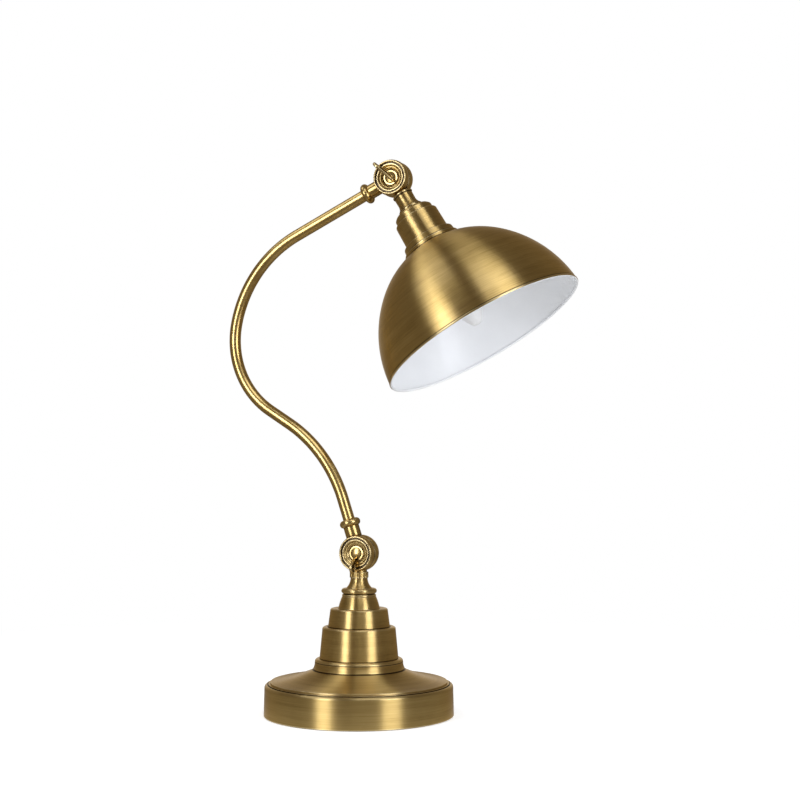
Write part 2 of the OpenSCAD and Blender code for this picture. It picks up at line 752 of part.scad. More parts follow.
module holder_neck() color(brass) along_shade() translate([0, 0, neck_at]) turned() difference() {
    waist_r = waist_d / 2;
    ring_out_r = neck_ring_d / 2;
    ring_h = 2;
    lip_c = 0.7;
    flare_l = 6;
    hollow = ring_out_r - 0.6 - waist_r;
    flare_r = (hollow * hollow + flare_l * flare_l) / (2 * hollow);
    body_l = holder_neck_l - ring_h;
    union() {
        polygon([[0, lip_c], [waist_r + 0.4, lip_c], [waist_r, body_l - flare_l], [0, body_l]]);
        translate([waist_r + 0.2, lip_c]) circle(lip_c);
        square([waist_r + 0.2, lip_c]);
        difference() {
            translate([0, body_l - flare_l]) square([waist_r + hollow, flare_l]);
            translate([waist_r + flare_r, body_l - flare_l]) circle(flare_r);
        }
        translate([0, body_l]) square([ring_out_r - ring_h / 2, ring_h]);
        translate([ring_out_r - ring_h / 2, body_l + ring_h / 2]) circle(ring_h / 2);
    }
    translate([0, -1]) square([upper_stem_r + running_gap, spigot_l + 1]);
    square([socket_r, holder_neck_l + 2]);
}

module holder_nipple() color(steel) along_shade() translate([0, 0, nipple_from]) turned()
    translate([rod_bore_r, 0]) square([rod_r - rod_bore_r, nipple_to - nipple_from]);

// Stepped top of the cup, a spun piece clamped under the neck
module cup_shoulder() color(brass) along_shade() translate([0, 0, neck_end]) turned()
    difference() {
        r = shoulder_d / 2;
        edge_r = 1.8;
        top_r = neck_ring_d / 2;
        slope = 1.4;                 // fall of the conical top
        edge_s = slope + edge_r;
        union() {
            translate([0, edge_s]) square([r, shoulder_l - edge_s]);
            polygon([[0, 0], [top_r, 0], [r - edge_r, slope], [r - edge_r, edge_s], [0, edge_s]]);
            translate([r - edge_r, edge_s]) circle(edge_r);
        }
        translate([0, edge_s]) square([r - cup_wall, shoulder_l]);
        polygon([[0, cup_wall + 0.6], [top_r, cup_wall + 0.6], [r - edge_r, edge_s], [0, edge_s]]);
        translate([0, -1]) square([socket_r, shoulder_l]);
    }

// Cup, slightly wider towards the shade
module holder_cup() color(brass) along_shade() translate([0, 0, cup_at]) turned() difference() {
    r = cup_d / 2;
    taper = 0.25;
    edge_r = 1.4;
    union() {
        polygon([[0, edge_r], [r - taper, edge_r], [r + taper, cup_l], [0, cup_l]]);
        square([r - taper - edge_r, edge_r]);
        translate([r - taper - edge_r, edge_r]) circle(edge_r);
    }
    polygon([
        [0, cup_wall], [r - taper - edge_r, cup_wall], [r - taper - cup_wall, edge_r],
        [r + taper - cup_wall, cup_l], [r - cup_wall, cup_l + 1], [0, cup_l + 1]
    ]);
    translate([0, -1]) square([shoulder_d / 2 - 2, cup_l]);
}

// Ring between the cup and the shade, its flange hollowed to sit on the crown
module shade_gallery() color(brass) along_shade() translate([0, 0, cup_end]) turned()
    difference() {
        band_r = cup_d / 2 + 3.2;
        band_out_r = band_r + 0.8;
        flange_r = gallery_d / 2;
        flange_h = 12;
        corner_r = 0.9;
        union() {
            square([band_r - corner_r, corner_r]);
            translate([band_r - corner_r, corner_r]) circle(corner_r);
            polygon([
                [0, corner_r], [band_r, corner_r], [band_out_r, gallery_band], [0, gallery_band]
            ]);
            translate([0, gallery_band]) square([flange_r - corner_r, flange_h]);
            translate([flange_r - corner_r, gallery_band + corner_r]) circle(corner_r);
            translate([0, gallery_band + corner_r]) square([flange_r, flange_h]);
        }
        translate([0, -1]) square([hole_r, 3 * flange_h]);
        translate([0, crown_centre - cup_end]) circle(crown_r + seat_gap, $fn = 360);
    }

// ---- shade and bulb ----

// The dome's outline filled to the axis, drawn inwards by a wall
module dome_outline(inset) {
    intersection() {
        translate([0, crown_centre]) circle(crown_r - inset, $fn = 360);
        translate([0, crown_at - 1]) square([crown_r, meet_s - crown_at + 1]);
    }
    intersection() {
        translate([side_centre_r, side_centre_s]) circle(side_r - inset, $fn = 720);
        translate([0, meet_s]) square([shade_r + 1, rim_at - rim_bead_r - meet_s]);
    }
}

module shade() color(brass) along_shade() turned() difference() {
    union() {
        difference() {
            dome_outline(0);
            dome_outline(shade_t);
        }
        translate([shade_r - rim_bead_r, rim_at - rim_bead_r]) circle(rim_bead_r, $fn = 48);
    }
    square([hole_r, meet_s]);
}

// Threaded ring that clamps the shade from inside
module shade_ring() color([0.85, 0.85, 0.82]) along_shade() turned() difference() {
    ring_end = crown_centre - sqrt(crown_r * crown_r - pow(shade_ring_r, 2)) + shade_ring_t;
    intersection() {
        translate([0, crown_centre]) circle(crown_r - shade_t - seat_gap, $fn = 360);
        square([shade_ring_r, ring_end]);
    }
    square([holder_r + running_gap, ring_end + 1]);
}

module lamp_holder() color([0.9, 0.9, 0.87]) along_shade() translate([0, 0, holder_from])
    turned() difference() {
        l = holder_to - holder_from;
        union() {
            square([holder_r, l]);
            // flange on the gallery
            translate([0, cup_end - holder_flange_t - holder_from])
                square([holder_flange_r, holder_flange_t]);
        }
        // room for the nipple, the contacts and the shell
        translate([0, -1]) square([socket_r, nipple_to - holder_from + 1]);
        translate([0, holder_floor - holder_from]) square([holder_shell_r + 0.8, l]);
        // the mouth stands clear of the bulb's glass
        translate([0, glass_at - fit_gap - holder_from]) square([holder_mouth_r, l]);
    }

module holder_shell() color(brass) along_shade()
    translate([0, 0, bulb_foot + 3.5]) turned() difference() {
        square([holder_shell_r, cap_l - 3.5 - fit_gap]);
        translate([0, -1]) square([cap_r + 0.2, cap_l]);
    }

module holder_contact() color(brass) along_shade()
    translate([0, 0, holder_floor]) cylinder(r = 2.6, h = bulb_foot - holder_floor);

module bulb_cap() color(steel) along_shade() translate([0, 0, bulb_foot + 2.5]) turned() {
    thread_r = 0.5;
    pitch = 2.82;
    square([cap_r - thread_r, cap_l - 2.5]);
    for (i = [0 : 4]) translate([cap_r - thread_r, 1 + thread_r + i * pitch]) circle(thread_r);
}

module bulb_contact() color(black_plastic) along_shade() translate([0, 0, bulb_foot]) turned()
    polygon([[0, 0], [2.2, 0], [2.6, 0.6], [cap_r - 1, 2.5], [0, 2.5]]);

// Candle bulb: a swelling lower body, a pointed upper body and a rounded tip
module bulb_outline(inset) {
    body_r = bulb_d / 2;
    foot_r = cap_r + 1.3;
    widest_s = bulb_foot + bulb_l * 0.57;
    tip_r = 6.5;
    rise = widest_s - glass_at;
    lower_r = (rise * rise + pow(body_r - foot_r, 2)) / (2 * (body_r - foot_r));
    reach = bulb_tip - tip_r - widest_s;
    upper_r = (body_r * body_r + reach * reach - tip_r * tip_r) / (2 * (body_r - tip_r));
    join_s = widest_s + reach * (upper_r - inset) / (upper_r - tip_r);
    intersection() {
        translate([body_r - lower_r, widest_s]) circle(lower_r - inset, $fn = 360);
        translate([0, glass_at]) square([bulb_d, rise]);
    }
    intersection() {
        translate([body_r - upper_r, widest_s]) circle(upper_r - inset, $fn = 360);
        translate([0, widest_s]) square([bulb_d, join_s - widest_s]);
    }
    intersection() {
        translate([0, bulb_tip - tip_r]) circle(tip_r - inset);
        translate([0, bulb_tip - 2 * tip_r]) square([tip_r, 2 * tip_r]);
    }
}

module bulb_glass() color([0.95, 0.95, 0.93, 0.8]) along_shade() turned() difference() {
    bulb_outline(0);
    bulb_outline(0.8);
}

felt_pad();
drum_shell();
base_weight();
dish_cover();
cord_grommet();
rod_washer();
rod_nut();
threaded_rod();
foot_ring();
lower_tier();
middle_tier();
bell();
bead_ring();
flared_neck();
knurled_collar();
lower_knuckle_base();
lower_friction_ring();
lower_key();
lower_knuckle_arm();
lower_cap_nut();
lower_ferrule();
arm_tube();
upper_ferrule();
upper_knuckle_arm();
upper_friction_ring();
upper_key();
upper_knuckle_head();
upper_cap_nut();
holder_neck();
holder_nipple();
cup_shoulder();
holder_cup();
shade_gallery();
shade();
shade_ring();
lamp_holder();
holder_shell();
holder_contact();
bulb_cap();
bulb_contact();
bulb_glass();
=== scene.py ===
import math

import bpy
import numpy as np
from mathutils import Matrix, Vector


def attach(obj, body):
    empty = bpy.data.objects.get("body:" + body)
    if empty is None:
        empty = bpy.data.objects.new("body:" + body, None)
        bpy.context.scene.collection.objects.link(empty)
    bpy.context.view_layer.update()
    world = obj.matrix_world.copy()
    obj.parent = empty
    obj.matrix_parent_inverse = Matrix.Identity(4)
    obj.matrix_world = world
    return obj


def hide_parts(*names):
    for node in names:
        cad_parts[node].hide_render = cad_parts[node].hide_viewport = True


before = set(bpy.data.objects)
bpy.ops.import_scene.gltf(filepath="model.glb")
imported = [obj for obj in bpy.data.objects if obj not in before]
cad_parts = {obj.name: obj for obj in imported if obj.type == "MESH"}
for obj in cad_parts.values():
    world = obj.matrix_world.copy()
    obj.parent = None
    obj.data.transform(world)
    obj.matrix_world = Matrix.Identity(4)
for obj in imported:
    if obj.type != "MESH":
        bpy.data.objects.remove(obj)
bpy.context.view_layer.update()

# Desk lamp with a spun dome shade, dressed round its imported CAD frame. Every new piece is
# a surface worked out with numpy: a profile turned round an axis, a circle carried along
# the arm's path, or rows of points stepped in from an outline. Lengths below are
# millimetres in the frame's own axes and become metres when the mesh is made.

MM = 0.001

# ---- where the lamp's joints and axes are ----

LOWER_JOINT = np.array([0.0, 0.0, 135.8])
ARM_DIR = [108.2, 147.7, 79.7, 26.0]          # direction of each straight run, from +X
FOOT_RUN, MIDDLE_RUN, HEAD_RUN = 48.0, 21.8, 100.1
BENDS = [(121.0, 39.5), (73.6, -68.0), (105.6, -53.7)]   # radius, and turn to the left
SHADE_TILT = math.radians(30.8)
SHADE_AXIS = np.array([math.sin(SHADE_TILT), 0.0, -math.cos(SHADE_TILT)])
UP = np.array([0.0, 0.0, 1.0])
FRONT = np.array([0.0, -1.0, 0.0])


def toward(degrees):
    """Unit vector in the XZ plane at an angle from +X towards +Z, or one for each of
    several angles."""
    a = np.radians(degrees)
    return np.stack([np.cos(a), 0.0 * a, np.sin(a)], -1)


def arm_path(step=1.5):
    """Centre line of the arm from joint to joint: straight runs and arcs of circles, as
    points, with each point's direction and its distance along the path."""
    at, heading, points, dirs = LOWER_JOINT, ARM_DIR[0], [], []

    def run(length):
        nonlocal at
        t = np.arange(0, length, step)
        points.append(at + t[:, None] * toward(heading))
        dirs.append(toward(heading + 0 * t))
        at = at + length * toward(heading)

    def bend(radius, turn):
        nonlocal at, heading
        side = math.copysign(1, turn)
        centre = at + side * radius * toward(heading + 90)
        h = heading + side * np.arange(0, abs(turn), math.degrees(step / radius))
        points.append(centre - side * radius * toward(h + 90))
        dirs.append(toward(h))
        heading += turn
        at = centre - side * radius * toward(heading + 90)

    run(FOOT_RUN)
    bend(*BENDS[0])
    run(MIDDLE_RUN)
    bend(*BENDS[1])
    bend(*BENDS[2])
    run(HEAD_RUN)
    points = np.concatenate([*points, [at]])
    dirs = np.concatenate([*dirs, [toward(heading)]])
    gaps = np.linalg.norm(np.diff(points, axis=0), axis=1)
    return points, dirs, np.concatenate([[0], np.cumsum(gaps)])


PATH, PATH_DIR, PATH_AT = arm_path()
UPPER_JOINT = PATH[-1]
ARM_END = -toward(ARM_DIR[-1])                # from the upper joint back along the arm


# ---- profiles ----

def rounded(corners, step=0.6):
    """Polyline through (radius, height, rounding) corners. A corner with a rounding is
    replaced by the arc of that radius that touches both its sides, and long sides are
    divided, so that neighbouring points are about a step apart."""
    pts = np.array([c[:2] for c in corners], float)
    rad = [c[2] if len(c) > 2 else 0.0 for c in corners]
    out = [pts[:1]]
    for i in range(1, len(pts) - 1):
        p, a, b = pts[i], pts[i - 1] - pts[i], pts[i + 1] - pts[i]
        la, lb = np.linalg.norm(a), np.linalg.norm(b)
        if rad[i] <= 0 or la < 1e-9 or lb < 1e-9:
            out.append(p[None])
            continue
        a, b = a / la, b / lb
        half = math.acos(np.clip(a @ b, -1, 1)) / 2
        if math.pi / 2 - half < 1e-3:
            out.append(p[None])
            continue
        back = min(rad[i] / math.tan(half), la * 0.499, lb * 0.499)
        r = back * math.tan(half)
        mid = (a + b) / np.linalg.norm(a + b)
        centre = p + mid * r / math.sin(half)
        t0, t1 = p + a * back - centre, p + b * back - centre
        a0 = math.atan2(t0[1], t0[0])
        sweep = (math.atan2(t1[1], t1[0]) - a0 + math.pi) % (2 * math.pi) - math.pi
        n = max(3, int(abs(sweep) / math.radians(12)))
        t = a0 + sweep * np.linspace(0, 1, n + 1)
        out.append(centre + r * np.stack([np.cos(t), np.sin(t)], 1))
    out.append(pts[-1:])
    return divided(np.concatenate(out), step)


def divided(pts, step):
    """The same polyline with its long sides cut into equal lengths of at most a step."""
    out = [pts[:1]]
    for p, q in zip(pts[:-1], pts[1:]):
        n = max(1, int(math.ceil(np.linalg.norm(q - p) / step)))
        out.append(p + (q - p) * (np.arange(1, n + 1) / n)[:, None])
    pts = np.concatenate(out)
    keep = np.concatenate([[True], np.linalg.norm(np.diff(pts, axis=0), axis=1) > 1e-6])
    return pts[keep]


def arc(centre_r, centre_h, radius, from_deg, to_deg, step=0.6):
    """Arc of a circle in a profile, angles counted from the radius direction."""
    n = max(3, int(abs(math.radians(to_deg - from_deg)) * radius / step))
    a = np.radians(np.linspace(from_deg, to_deg, n + 1))
    return np.stack([centre_r + radius * np.cos(a), centre_h + radius * np.sin(a)], 1)


def chain(*parts):
    """Profiles joined end to end into one."""
    return np.concatenate([np.asarray(p, float)[:, :2] for p in parts])


def edge_measure(profile, reach=0.9):
    """How far each point of a closed profile stands out of the line through the points
    a reach before and after it: above 0 on an edge, below 0 in a groove. With it comes
    each point's distance along the profile."""
    loop = np.vstack([profile, profile[:1]])
    at = np.concatenate([[0], np.cumsum(np.linalg.norm(np.diff(loop, axis=0), axis=1))])
    total, s = at[-1], at[:-1]

    def point(where):
        w = where % total
        return np.stack([np.interp(w, at, loop[:, k]) for k in (0, 1)], 1)

    before, after = point(s - reach), point(s + reach)
    tangent = after - before
    normal = np.stack([tangent[:, 1], -tangent[:, 0]], 1)
    normal /= np.maximum(np.linalg.norm(normal, axis=1), 1e-9)[:, None]
    area = np.sum(loop[:-1, 0] * loop[1:, 1] - loop[1:, 0] * loop[:-1, 1])
    out = np.sum((profile - (before + after) / 2) * normal, axis=1) / reach
    return out * math.copysign(1, area), s


# ---- meshes ----

SHARP_FROM = 38                  # degrees between two faces from which their edge is sharp
POLE = 0.001                     # radius, or share of one, to which a ring shrinks
SEAM_SHADE, RIM_RUBBED_GLINT = -0.6, 0.5       # edge measure of a seam painted dark as shade, and of a rim rubbed bright and painted with a highlight


def make_mesh(name, verts, quads, uvs, turn, edge, mat_index=None):
    """Mesh from whole arrays: points in millimetres, four-cornered faces with a UV for
    each corner, and two attributes, the brushing's own coordinate and the edge measure.
    Faces are turned over together if the volume they enclose comes out negative."""
    p = verts[quads]
    volume = np.sum(np.cross(p[:, 1] - p[:, 0], p[:, 2] - p[:, 0]) * p[:, 0])
    volume += np.sum(np.cross(p[:, 2] - p[:, 0], p[:, 3] - p[:, 0]) * p[:, 0])
    if volume < 0:
        quads, uvs = quads[:, ::-1], uvs[:, ::-1]
    mesh = bpy.data.meshes.new(name)
    mesh.vertices.add(len(verts))
    mesh.vertices.foreach_set("co", (verts * MM).ravel())
    mesh.loops.add(quads.size)
    mesh.loops.foreach_set("vertex_index", quads.ravel().astype(np.int32))
    mesh.polygons.add(len(quads))
    mesh.polygons.foreach_set("loop_start", (np.arange(len(quads)) * 4).astype(np.int32))
    if mat_index is not None:
        mesh.polygons.foreach_set("material_index", mat_index.astype(np.int32))
    layer = mesh.uv_layers.new(name="UVMap")
    layer.data.foreach_set("uv", uvs.reshape(-1, 2).astype(np.float32).ravel())
    mesh.attributes.new("turn", "FLOAT_VECTOR", "POINT").data.foreach_set(
        "vector", turn.astype(np.float32).ravel())
    mesh.attributes.new("edge", "FLOAT", "POINT").data.foreach_set(
        "value", edge.astype(np.float32))
    mesh.update(calc_edges=True)
    mesh.validate()
    return mesh


def join_parts(parts):
    """Arrays of several surfaces put one after another, with the faces renumbered."""
    starts = np.cumsum([0] + [len(part[0]) for part in parts[:-1]])
    moved = [(v, q + start, u, t, e) for start, (v, q, u, t, e) in zip(starts, parts)]
    return [np.concatenate(arrays) for arrays in zip(*moved)]


def grid_faces(rows, cols, close_cols=True):
    """Four-cornered faces between the points of a grid that closes round its rows, and
    where asked for round its columns, with a UV for each corner that counts on past the
    seam instead of jumping back."""
    i, j = np.meshgrid(np.arange(rows), np.arange(cols if close_cols else cols - 1),
                       indexing="ij")
    i, j = i.ravel(), j.ravel()
    corner = [(i, j), (i + 1, j), (i + 1, j + 1), (i, j + 1)]
    quads = np.stack([(a % rows) * cols + (b % cols) for a, b in corner], 1)
    uvs = np.stack([np.stack([a / rows, b / cols], 1) for a, b in corner], 1)
    return quads, uvs


def side_vectors(axis):
    """Two unit vectors square to an axis and to each other. The second one lies in the
    XZ plane, and together they make a right-handed set with the axis."""
    axis = axis / np.linalg.norm(axis)
    first = np.array([0.0, 1.0, 0.0]) if abs(axis[1]) < 0.9 else np.array([1.0, 0.0, 0.0])
    first = first - axis * (first @ axis)
    first /= np.linalg.norm(first)
    return first, np.cross(axis, first)


def round_angles(around):
    """Equally spaced angles of a full turn, as a column."""
    return (np.arange(around) * 2 * math.pi / around)[:, None]


def turn_of(angle, along):
    """The brushing's own coordinate: cosine and sine of the angle round the piece, and
    the length along it."""
    return np.stack(np.broadcast_arrays(np.cos(angle), np.sin(angle), along), -1)


def turned(profile, origin, axis, around=96, ripple=None, shaded_places=()):
    """Closed profile of (radius, distance along the axis) carried round the axis: a point
    is origin + distance * axis + radius * (cos a * first + sin a * second). A ripple
    takes (radius, distance, angle) arrays and gives the changed radius. Where the profile
    lies in a shaded place, each (least radius, greatest, least distance, greatest), it
    counts as deep in a groove, which paints shade there."""
    first, second = side_vectors(axis)
    edge, length = edge_measure(profile)
    for r0, r1, h0, h1 in shaded_places:
        inside = np.all((profile >= (r0, h0)) & (profile <= (r1, h1)), axis=1)
        edge[inside] = SEAM_SHADE
    a = round_angles(around)
    r, h = profile[None, :, 0], profile[None, :, 1]
    if ripple is not None:
        r = ripple(r, h, a)
    verts = (origin + h[..., None] * axis
             + r[..., None] * (np.cos(a)[..., None] * first + np.sin(a)[..., None] * second))
    quads, uvs = grid_faces(around, len(profile))
    turn = turn_of(a, length)
    return verts.reshape(-1, 3), quads, uvs, turn.reshape(-1, 3), np.tile(edge, around)


def swept(points, dirs, at, radius, around=56):
    """Round tube along a path in the XZ plane: at each point a circle of the radius is
    set square to the path's direction. The first and last circles shrink to a point,
    which closes the ends."""
    n = len(points) + 2
    pts = np.concatenate([points[:1], points, points[-1:]])
    rad = np.concatenate([[POLE], np.full(len(points), radius), [POLE]])
    d = np.concatenate([dirs[:1], dirs, dirs[-1:]])
    s = np.concatenate([at[:1], at, at[-1:]])
    side = np.array([0.0, 1.0, 0.0])
    normal = np.cross(d, side)
    a = round_angles(around)
    verts = (pts[None] + rad[None, :, None]
             * (np.cos(a)[..., None] * side + np.sin(a)[..., None] * normal[None]))
    quads, uvs = grid_faces(around, n, False)
    turn = turn_of(a, s)
    return verts.reshape(-1, 3), quads, uvs, turn.reshape(-1, 3), np.zeros(around * n)


def add_piece(name, parts, body, nodes, materials, mat_index=None):
    """Object at the origin with its place in its mesh, smooth-shaded up to the sharp
    angle, riding on its body and standing for its CAD nodes."""
    parts = [parts] if isinstance(parts, tuple) else parts
    mesh = make_mesh(name, *join_parts(parts), mat_index)
    for m in materials if isinstance(materials, list) else [materials]:
        mesh.materials.append(m)
    mesh.shade_smooth()
    mesh.set_sharp_from_angle(angle=math.radians(SHARP_FROM))
    obj = bpy.data.objects.new(name, mesh)
    bpy.context.scene.collection.objects.link(obj)
    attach(obj, body)
    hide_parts(*nodes)


# ---- materials ----

class Tree:
    """A node tree with short ways to add and link nodes."""

    def __init__(self, tree):
        self.tree = tree

    def put(self, node, socket, value):
        """Links a value that is a socket to an input, and sets any other value on it."""
        if isinstance(value, bpy.types.NodeSocket):
            self.tree.links.new(value, node.inputs[socket])
        else:
            node.inputs[socket].default_value = value

    def add(self, kind, inputs=(), **properties):
        """A node with its properties set and its inputs set or linked."""
        node = self.tree.nodes.new(kind)
        for key, value in properties.items():
            setattr(node, key, value)
        for socket, value in dict(inputs).items():
            self.put(node, socket, value)
        return node

    def math(self, how, a, b=0.0):
        """One sum, product or other operation on two numbers."""
        return self.add("ShaderNodeMath", {0: a, 1: b}, operation=how).outputs[0]

    def weighted(self, *terms, plus=0.0):
        """Sum of (socket, weight) terms and a constant."""
        total = plus
        for socket, weight in terms:
            total = self.math("ADD", self.math("MULTIPLY", socket, weight), total)
        return total

    def ramp(self, factor, stops):
        """Colour ramp of (position, colour or grey) stops."""
        node = self.add("ShaderNodeValToRGB", {"Fac": factor})
        element = node.color_ramp.elements
        while len(element) < len(stops):
            element.new(0.5)
        for e, (pos, colour) in zip(element, stops):
            e.position = pos
            e.color = (*colour, 1) if isinstance(colour, tuple) else (colour, colour, colour, 1)
        return node.outputs["Color"]

    def blend(self, factor, a, b):
        """Two colours mixed by a factor, each either a socket or a plain colour."""
        a, b = [(*c, 1) if isinstance(c, tuple) else c for c in (a, b)]
        return self.add("ShaderNodeMix", {0: factor, 6: a, 7: b}, data_type="RGBA").outputs[2]

    def glow(self, colour, strength=1.0):
        """Light of one colour."""
        return self.add("ShaderNodeEmission",
                        {"Color": (*colour, 1), "Strength": strength}).outputs[0]

    def mixed(self, factor, a, b):
        """Two shaders mixed by a factor."""
        return self.add("ShaderNodeMixShader", {0: factor, 1: a, 2: b}).outputs[0]


class Finish(Tree):
    """A material and its node tree."""

    def __init__(self, name):
        self.mat = bpy.data.materials.new(name)
        self.mat.use_nodes = True
        super().__init__(self.mat.node_tree)
        self.shader = self.tree.nodes["Principled BSDF"]

    def object_point(self):
        """Place on the piece, in metres."""
        return self.add("ShaderNodeTexCoord").outputs["Object"]

    def own(self, name, output="Vector"):
        """The piece's own attribute of that name."""
        return self.add("ShaderNodeAttribute", attribute_name=name).outputs[output]

    def stretched(self, vector, scale):
        """A vector with each of its parts scaled."""
        return self.add("ShaderNodeMapping", {"Vector": vector, "Scale": scale}).outputs[0]

    def noise(self, vector, scale, detail=3.0, rough=0.55):
        """Noise on a vector. A scale of three numbers stretches the vector first."""
        if isinstance(scale, tuple):
            vector, scale = self.stretched(vector, scale), 1.0
        return self.add("ShaderNodeTexNoise", {"Vector": vector, "Scale": scale, "Detail": detail,
                                               "Roughness": rough}).outputs["Fac"]

    def cells(self, vector, scale):
        """Distance to the nearest of many scattered points."""
        return self.add("ShaderNodeTexVoronoi",
                        {"Vector": vector, "Scale": scale}).outputs["Distance"]

    def bump(self, height, depth, under=None):
        """Bump as deep as depth in metres, on top of another one where that is given."""
        inputs = {"Height": height, "Strength": 1.0, "Distance": depth}
        if under is not None:
            inputs["Normal"] = under
        return self.add("ShaderNodeBump", inputs).outputs[0]

    def finish(self, colour, rough, normal=None, **plain):
        """Links what varies to the shader, and sets what is the same all over on the
        shader's own sockets."""
        self.put(self.shader, "Base Color", colour)
        self.put(self.shader, "Roughness", rough)
        if normal is not None:
            self.put(self.shader, "Normal", normal)
        for key, value in plain.items():
            self.shader.inputs[key.replace("_", " ")].default_value = value
        return self.mat


# tones of antique brass, dark to light, each with its place in the streaks' ramp
BRASS_TONES = [(0.32, (0.38, 0.255, 0.078)), (0.46, (0.53, 0.372, 0.130)),
               (0.54, (0.59, 0.422, 0.156)), (0.70, (0.68, 0.508, 0.218))]
# colours of rubbed edges, also the painted highlight on the shade's rim; of dirt in grooves, also
# painted shade at the seams between pieces; and of painted shade in the gap between a joint's halves
BRASS_RUBBED_AND_GLINT, BRASS_DIRT_AND_SHADE, BRASS_GAP_SHADE = (0.80, 0.66, 0.36), (0.035, 0.020, 0.008), (0.02, 0.012, 0.006)


def brushed_brass(name, streak, lines=0.000012, rough=0.40, dark=0.0, mottle=0.0,
                  anisotropic=0.93, seam=None):
    """Antique brass that was brushed round its axis and lacquered: fine lines on the
    turning coordinate, cloudy patina, grooves darkened with dirt, seams between pieces
    painted dark as shade, and edges rubbed bright, which at the shade's rim paints a
    highlight. Lines is the depth of the brushing and mottle that of cast dents, in metres.
    Dark makes the whole copy darker, as painted shade. A seam paints shade on what lies
    within that many millimetres of the plane of symmetry, in the gap where two halves of
    a joint meet."""
    f = Finish(name)
    turn, point, edge = f.own("turn"), f.object_point(), f.own("edge", "Fac")
    line = f.noise(turn, streak, 4.0, 0.65)
    hair = f.noise(turn, (streak[0] * 2.5, streak[1] * 2.5, streak[2] * 3.0), 2.0, 0.6)
    band = f.noise(turn, (0.5, 0.5, 0.16), 2.0, 0.5)
    cloud = f.noise(point, 30.0, 4.0, 0.6)
    tone = f.weighted((band, 0.30), (cloud, 0.24), (line, 0.46))
    base = f.ramp(tone, [(pos, tuple(c * (1.0 - dark) for c in colour))
                         for pos, colour in BRASS_TONES])
    # rubbed edges brighten, and at the shade's rim this paints a highlight; grooves darken with dirt,
    # and at the given seams and the joints' grooves this paints shade
    worn = f.ramp(f.weighted((cloud, 0.16), (edge, 1.0), plus=-0.08), [(0.10, 0.0), (0.34, 1.0)])
    sunk = f.ramp(f.math("MULTIPLY", edge, -1.0), [(0.04, 0.0), (0.18, 1.0)])
    colour = f.blend(f.math("MULTIPLY", worn, 0.6), base, BRASS_RUBBED_AND_GLINT)
    colour = f.blend(f.math("MULTIPLY", sunk, 0.90), colour, BRASS_DIRT_AND_SHADE)
    # painted shade in the gap between the two halves of a joint
    if seam:
        depth = f.math("ABSOLUTE", f.add("ShaderNodeSeparateXYZ", {"Vector": point}).outputs[1])
        near = f.ramp(f.math("MULTIPLY", depth, 1.0 / (seam * MM)), [(0.35, 1.0), (1.0, 0.0)])
        colour = f.blend(f.math("MULTIPLY", near, 0.93), colour, BRASS_GAP_SHADE)
    roughness = f.weighted((hair, 0.10), (sunk, 0.16), (cloud, 0.10), plus=rough - 0.10)
    normal = f.bump(f.weighted((hair, 0.45), (line, 1.0)), lines)
    if mottle:
        normal = f.bump(f.cells(f.stretched(turn, (1.6, 1.6, 0.42)), 1.6), mottle, normal)
    # the tangent runs round the axis, and the quarter turn spreads highlights along it
    tangent = f.add("ShaderNodeTangent", direction_type="UV_MAP", uv_map="UVMap")
    f.put(f.shader, "Tangent", tangent.outputs[0])
    return f.finish(colour, roughness, normal, Metallic=1.0, Anisotropic=anisotropic,
                    Anisotropic_Rotation=0.25, Specular_Tint=(0.80, 0.66, 0.46, 1.0),
                    Coat_Weight=0.25, Coat_Roughness=0.25, Coat_IOR=1.5)


def white_enamel(name):
    """Sprayed white enamel: faint orange peel, and a slightly uneven tone and sheen."""
    f = Finish(name)
    point = f.object_point()
    peel = f.noise(point, 420.0, 2.0, 0.5)
    cloud = f.noise(point, 24.0, 3.0, 0.5)
    colour = f.ramp(cloud, [(0.3, (0.80, 0.812, 0.822)), (0.7, (0.85, 0.860, 0.868))])
    return f.finish(colour, f.weighted((cloud, 0.16), plus=0.30), f.bump(peel, 0.00006),
                    IOR=1.5, Coat_Weight=0.15)


def moulded(name, colour_a, colour_b, rough, grain=600.0, depth=0.00004, **plain):
    """Moulded plastic or rubber: two close tones in a cloudy mix, with a fine grain."""
    f = Finish(name)
    point = f.object_point()
    cloud = f.noise(point, 45.0, 4.0, 0.6)
    fine = f.noise(point, grain, 2.0, 0.6)
    return f.finish(f.ramp(cloud, [(0.32, colour_a), (0.68, colour_b)]),
                    f.weighted((fine, 0.2), plus=rough), f.bump(fine, depth), **plain)


def plated(name, colour_a, colour_b, rough):
    """Plated or bare metal that isn't brushed: small spots, clouds and fine scratches."""
    f = Finish(name)
    point = f.object_point()
    cloud = f.noise(point, 70.0, 5.0, 0.65)
    scratch = f.noise(point, (1200.0, 1200.0, 90.0), 3.0, 0.6)
    return f.finish(f.ramp(cloud, [(0.3, colour_a), (0.7, colour_b)]),
                    f.weighted((cloud, 0.22), plus=rough), f.bump(scratch, 0.00002), Metallic=1.0)


def sand_cast(name):
    """Sand-cast iron: coarse grain, small pits and rusty clouds."""
    f = Finish(name)
    point = f.object_point()
    grain = f.noise(point, 900.0, 4.0, 0.7)
    rust = f.ramp(f.noise(point, 55.0, 5.0, 0.65), [(0.55, 0.0), (0.75, 1.0)])
    base = f.ramp(grain, [(0.3, (0.030, 0.030, 0.031)), (0.7, (0.075, 0.073, 0.07))])
    colour = f.blend(f.math("MULTIPLY", rust, 0.5), base, (0.12, 0.055, 0.028))
    normal = f.bump(f.weighted((f.cells(point, 520.0), 0.6), (grain, 1.0)), 0.0003)
    return f.finish(colour, f.weighted((grain, 0.25), plus=0.55), normal, Metallic=0.6)


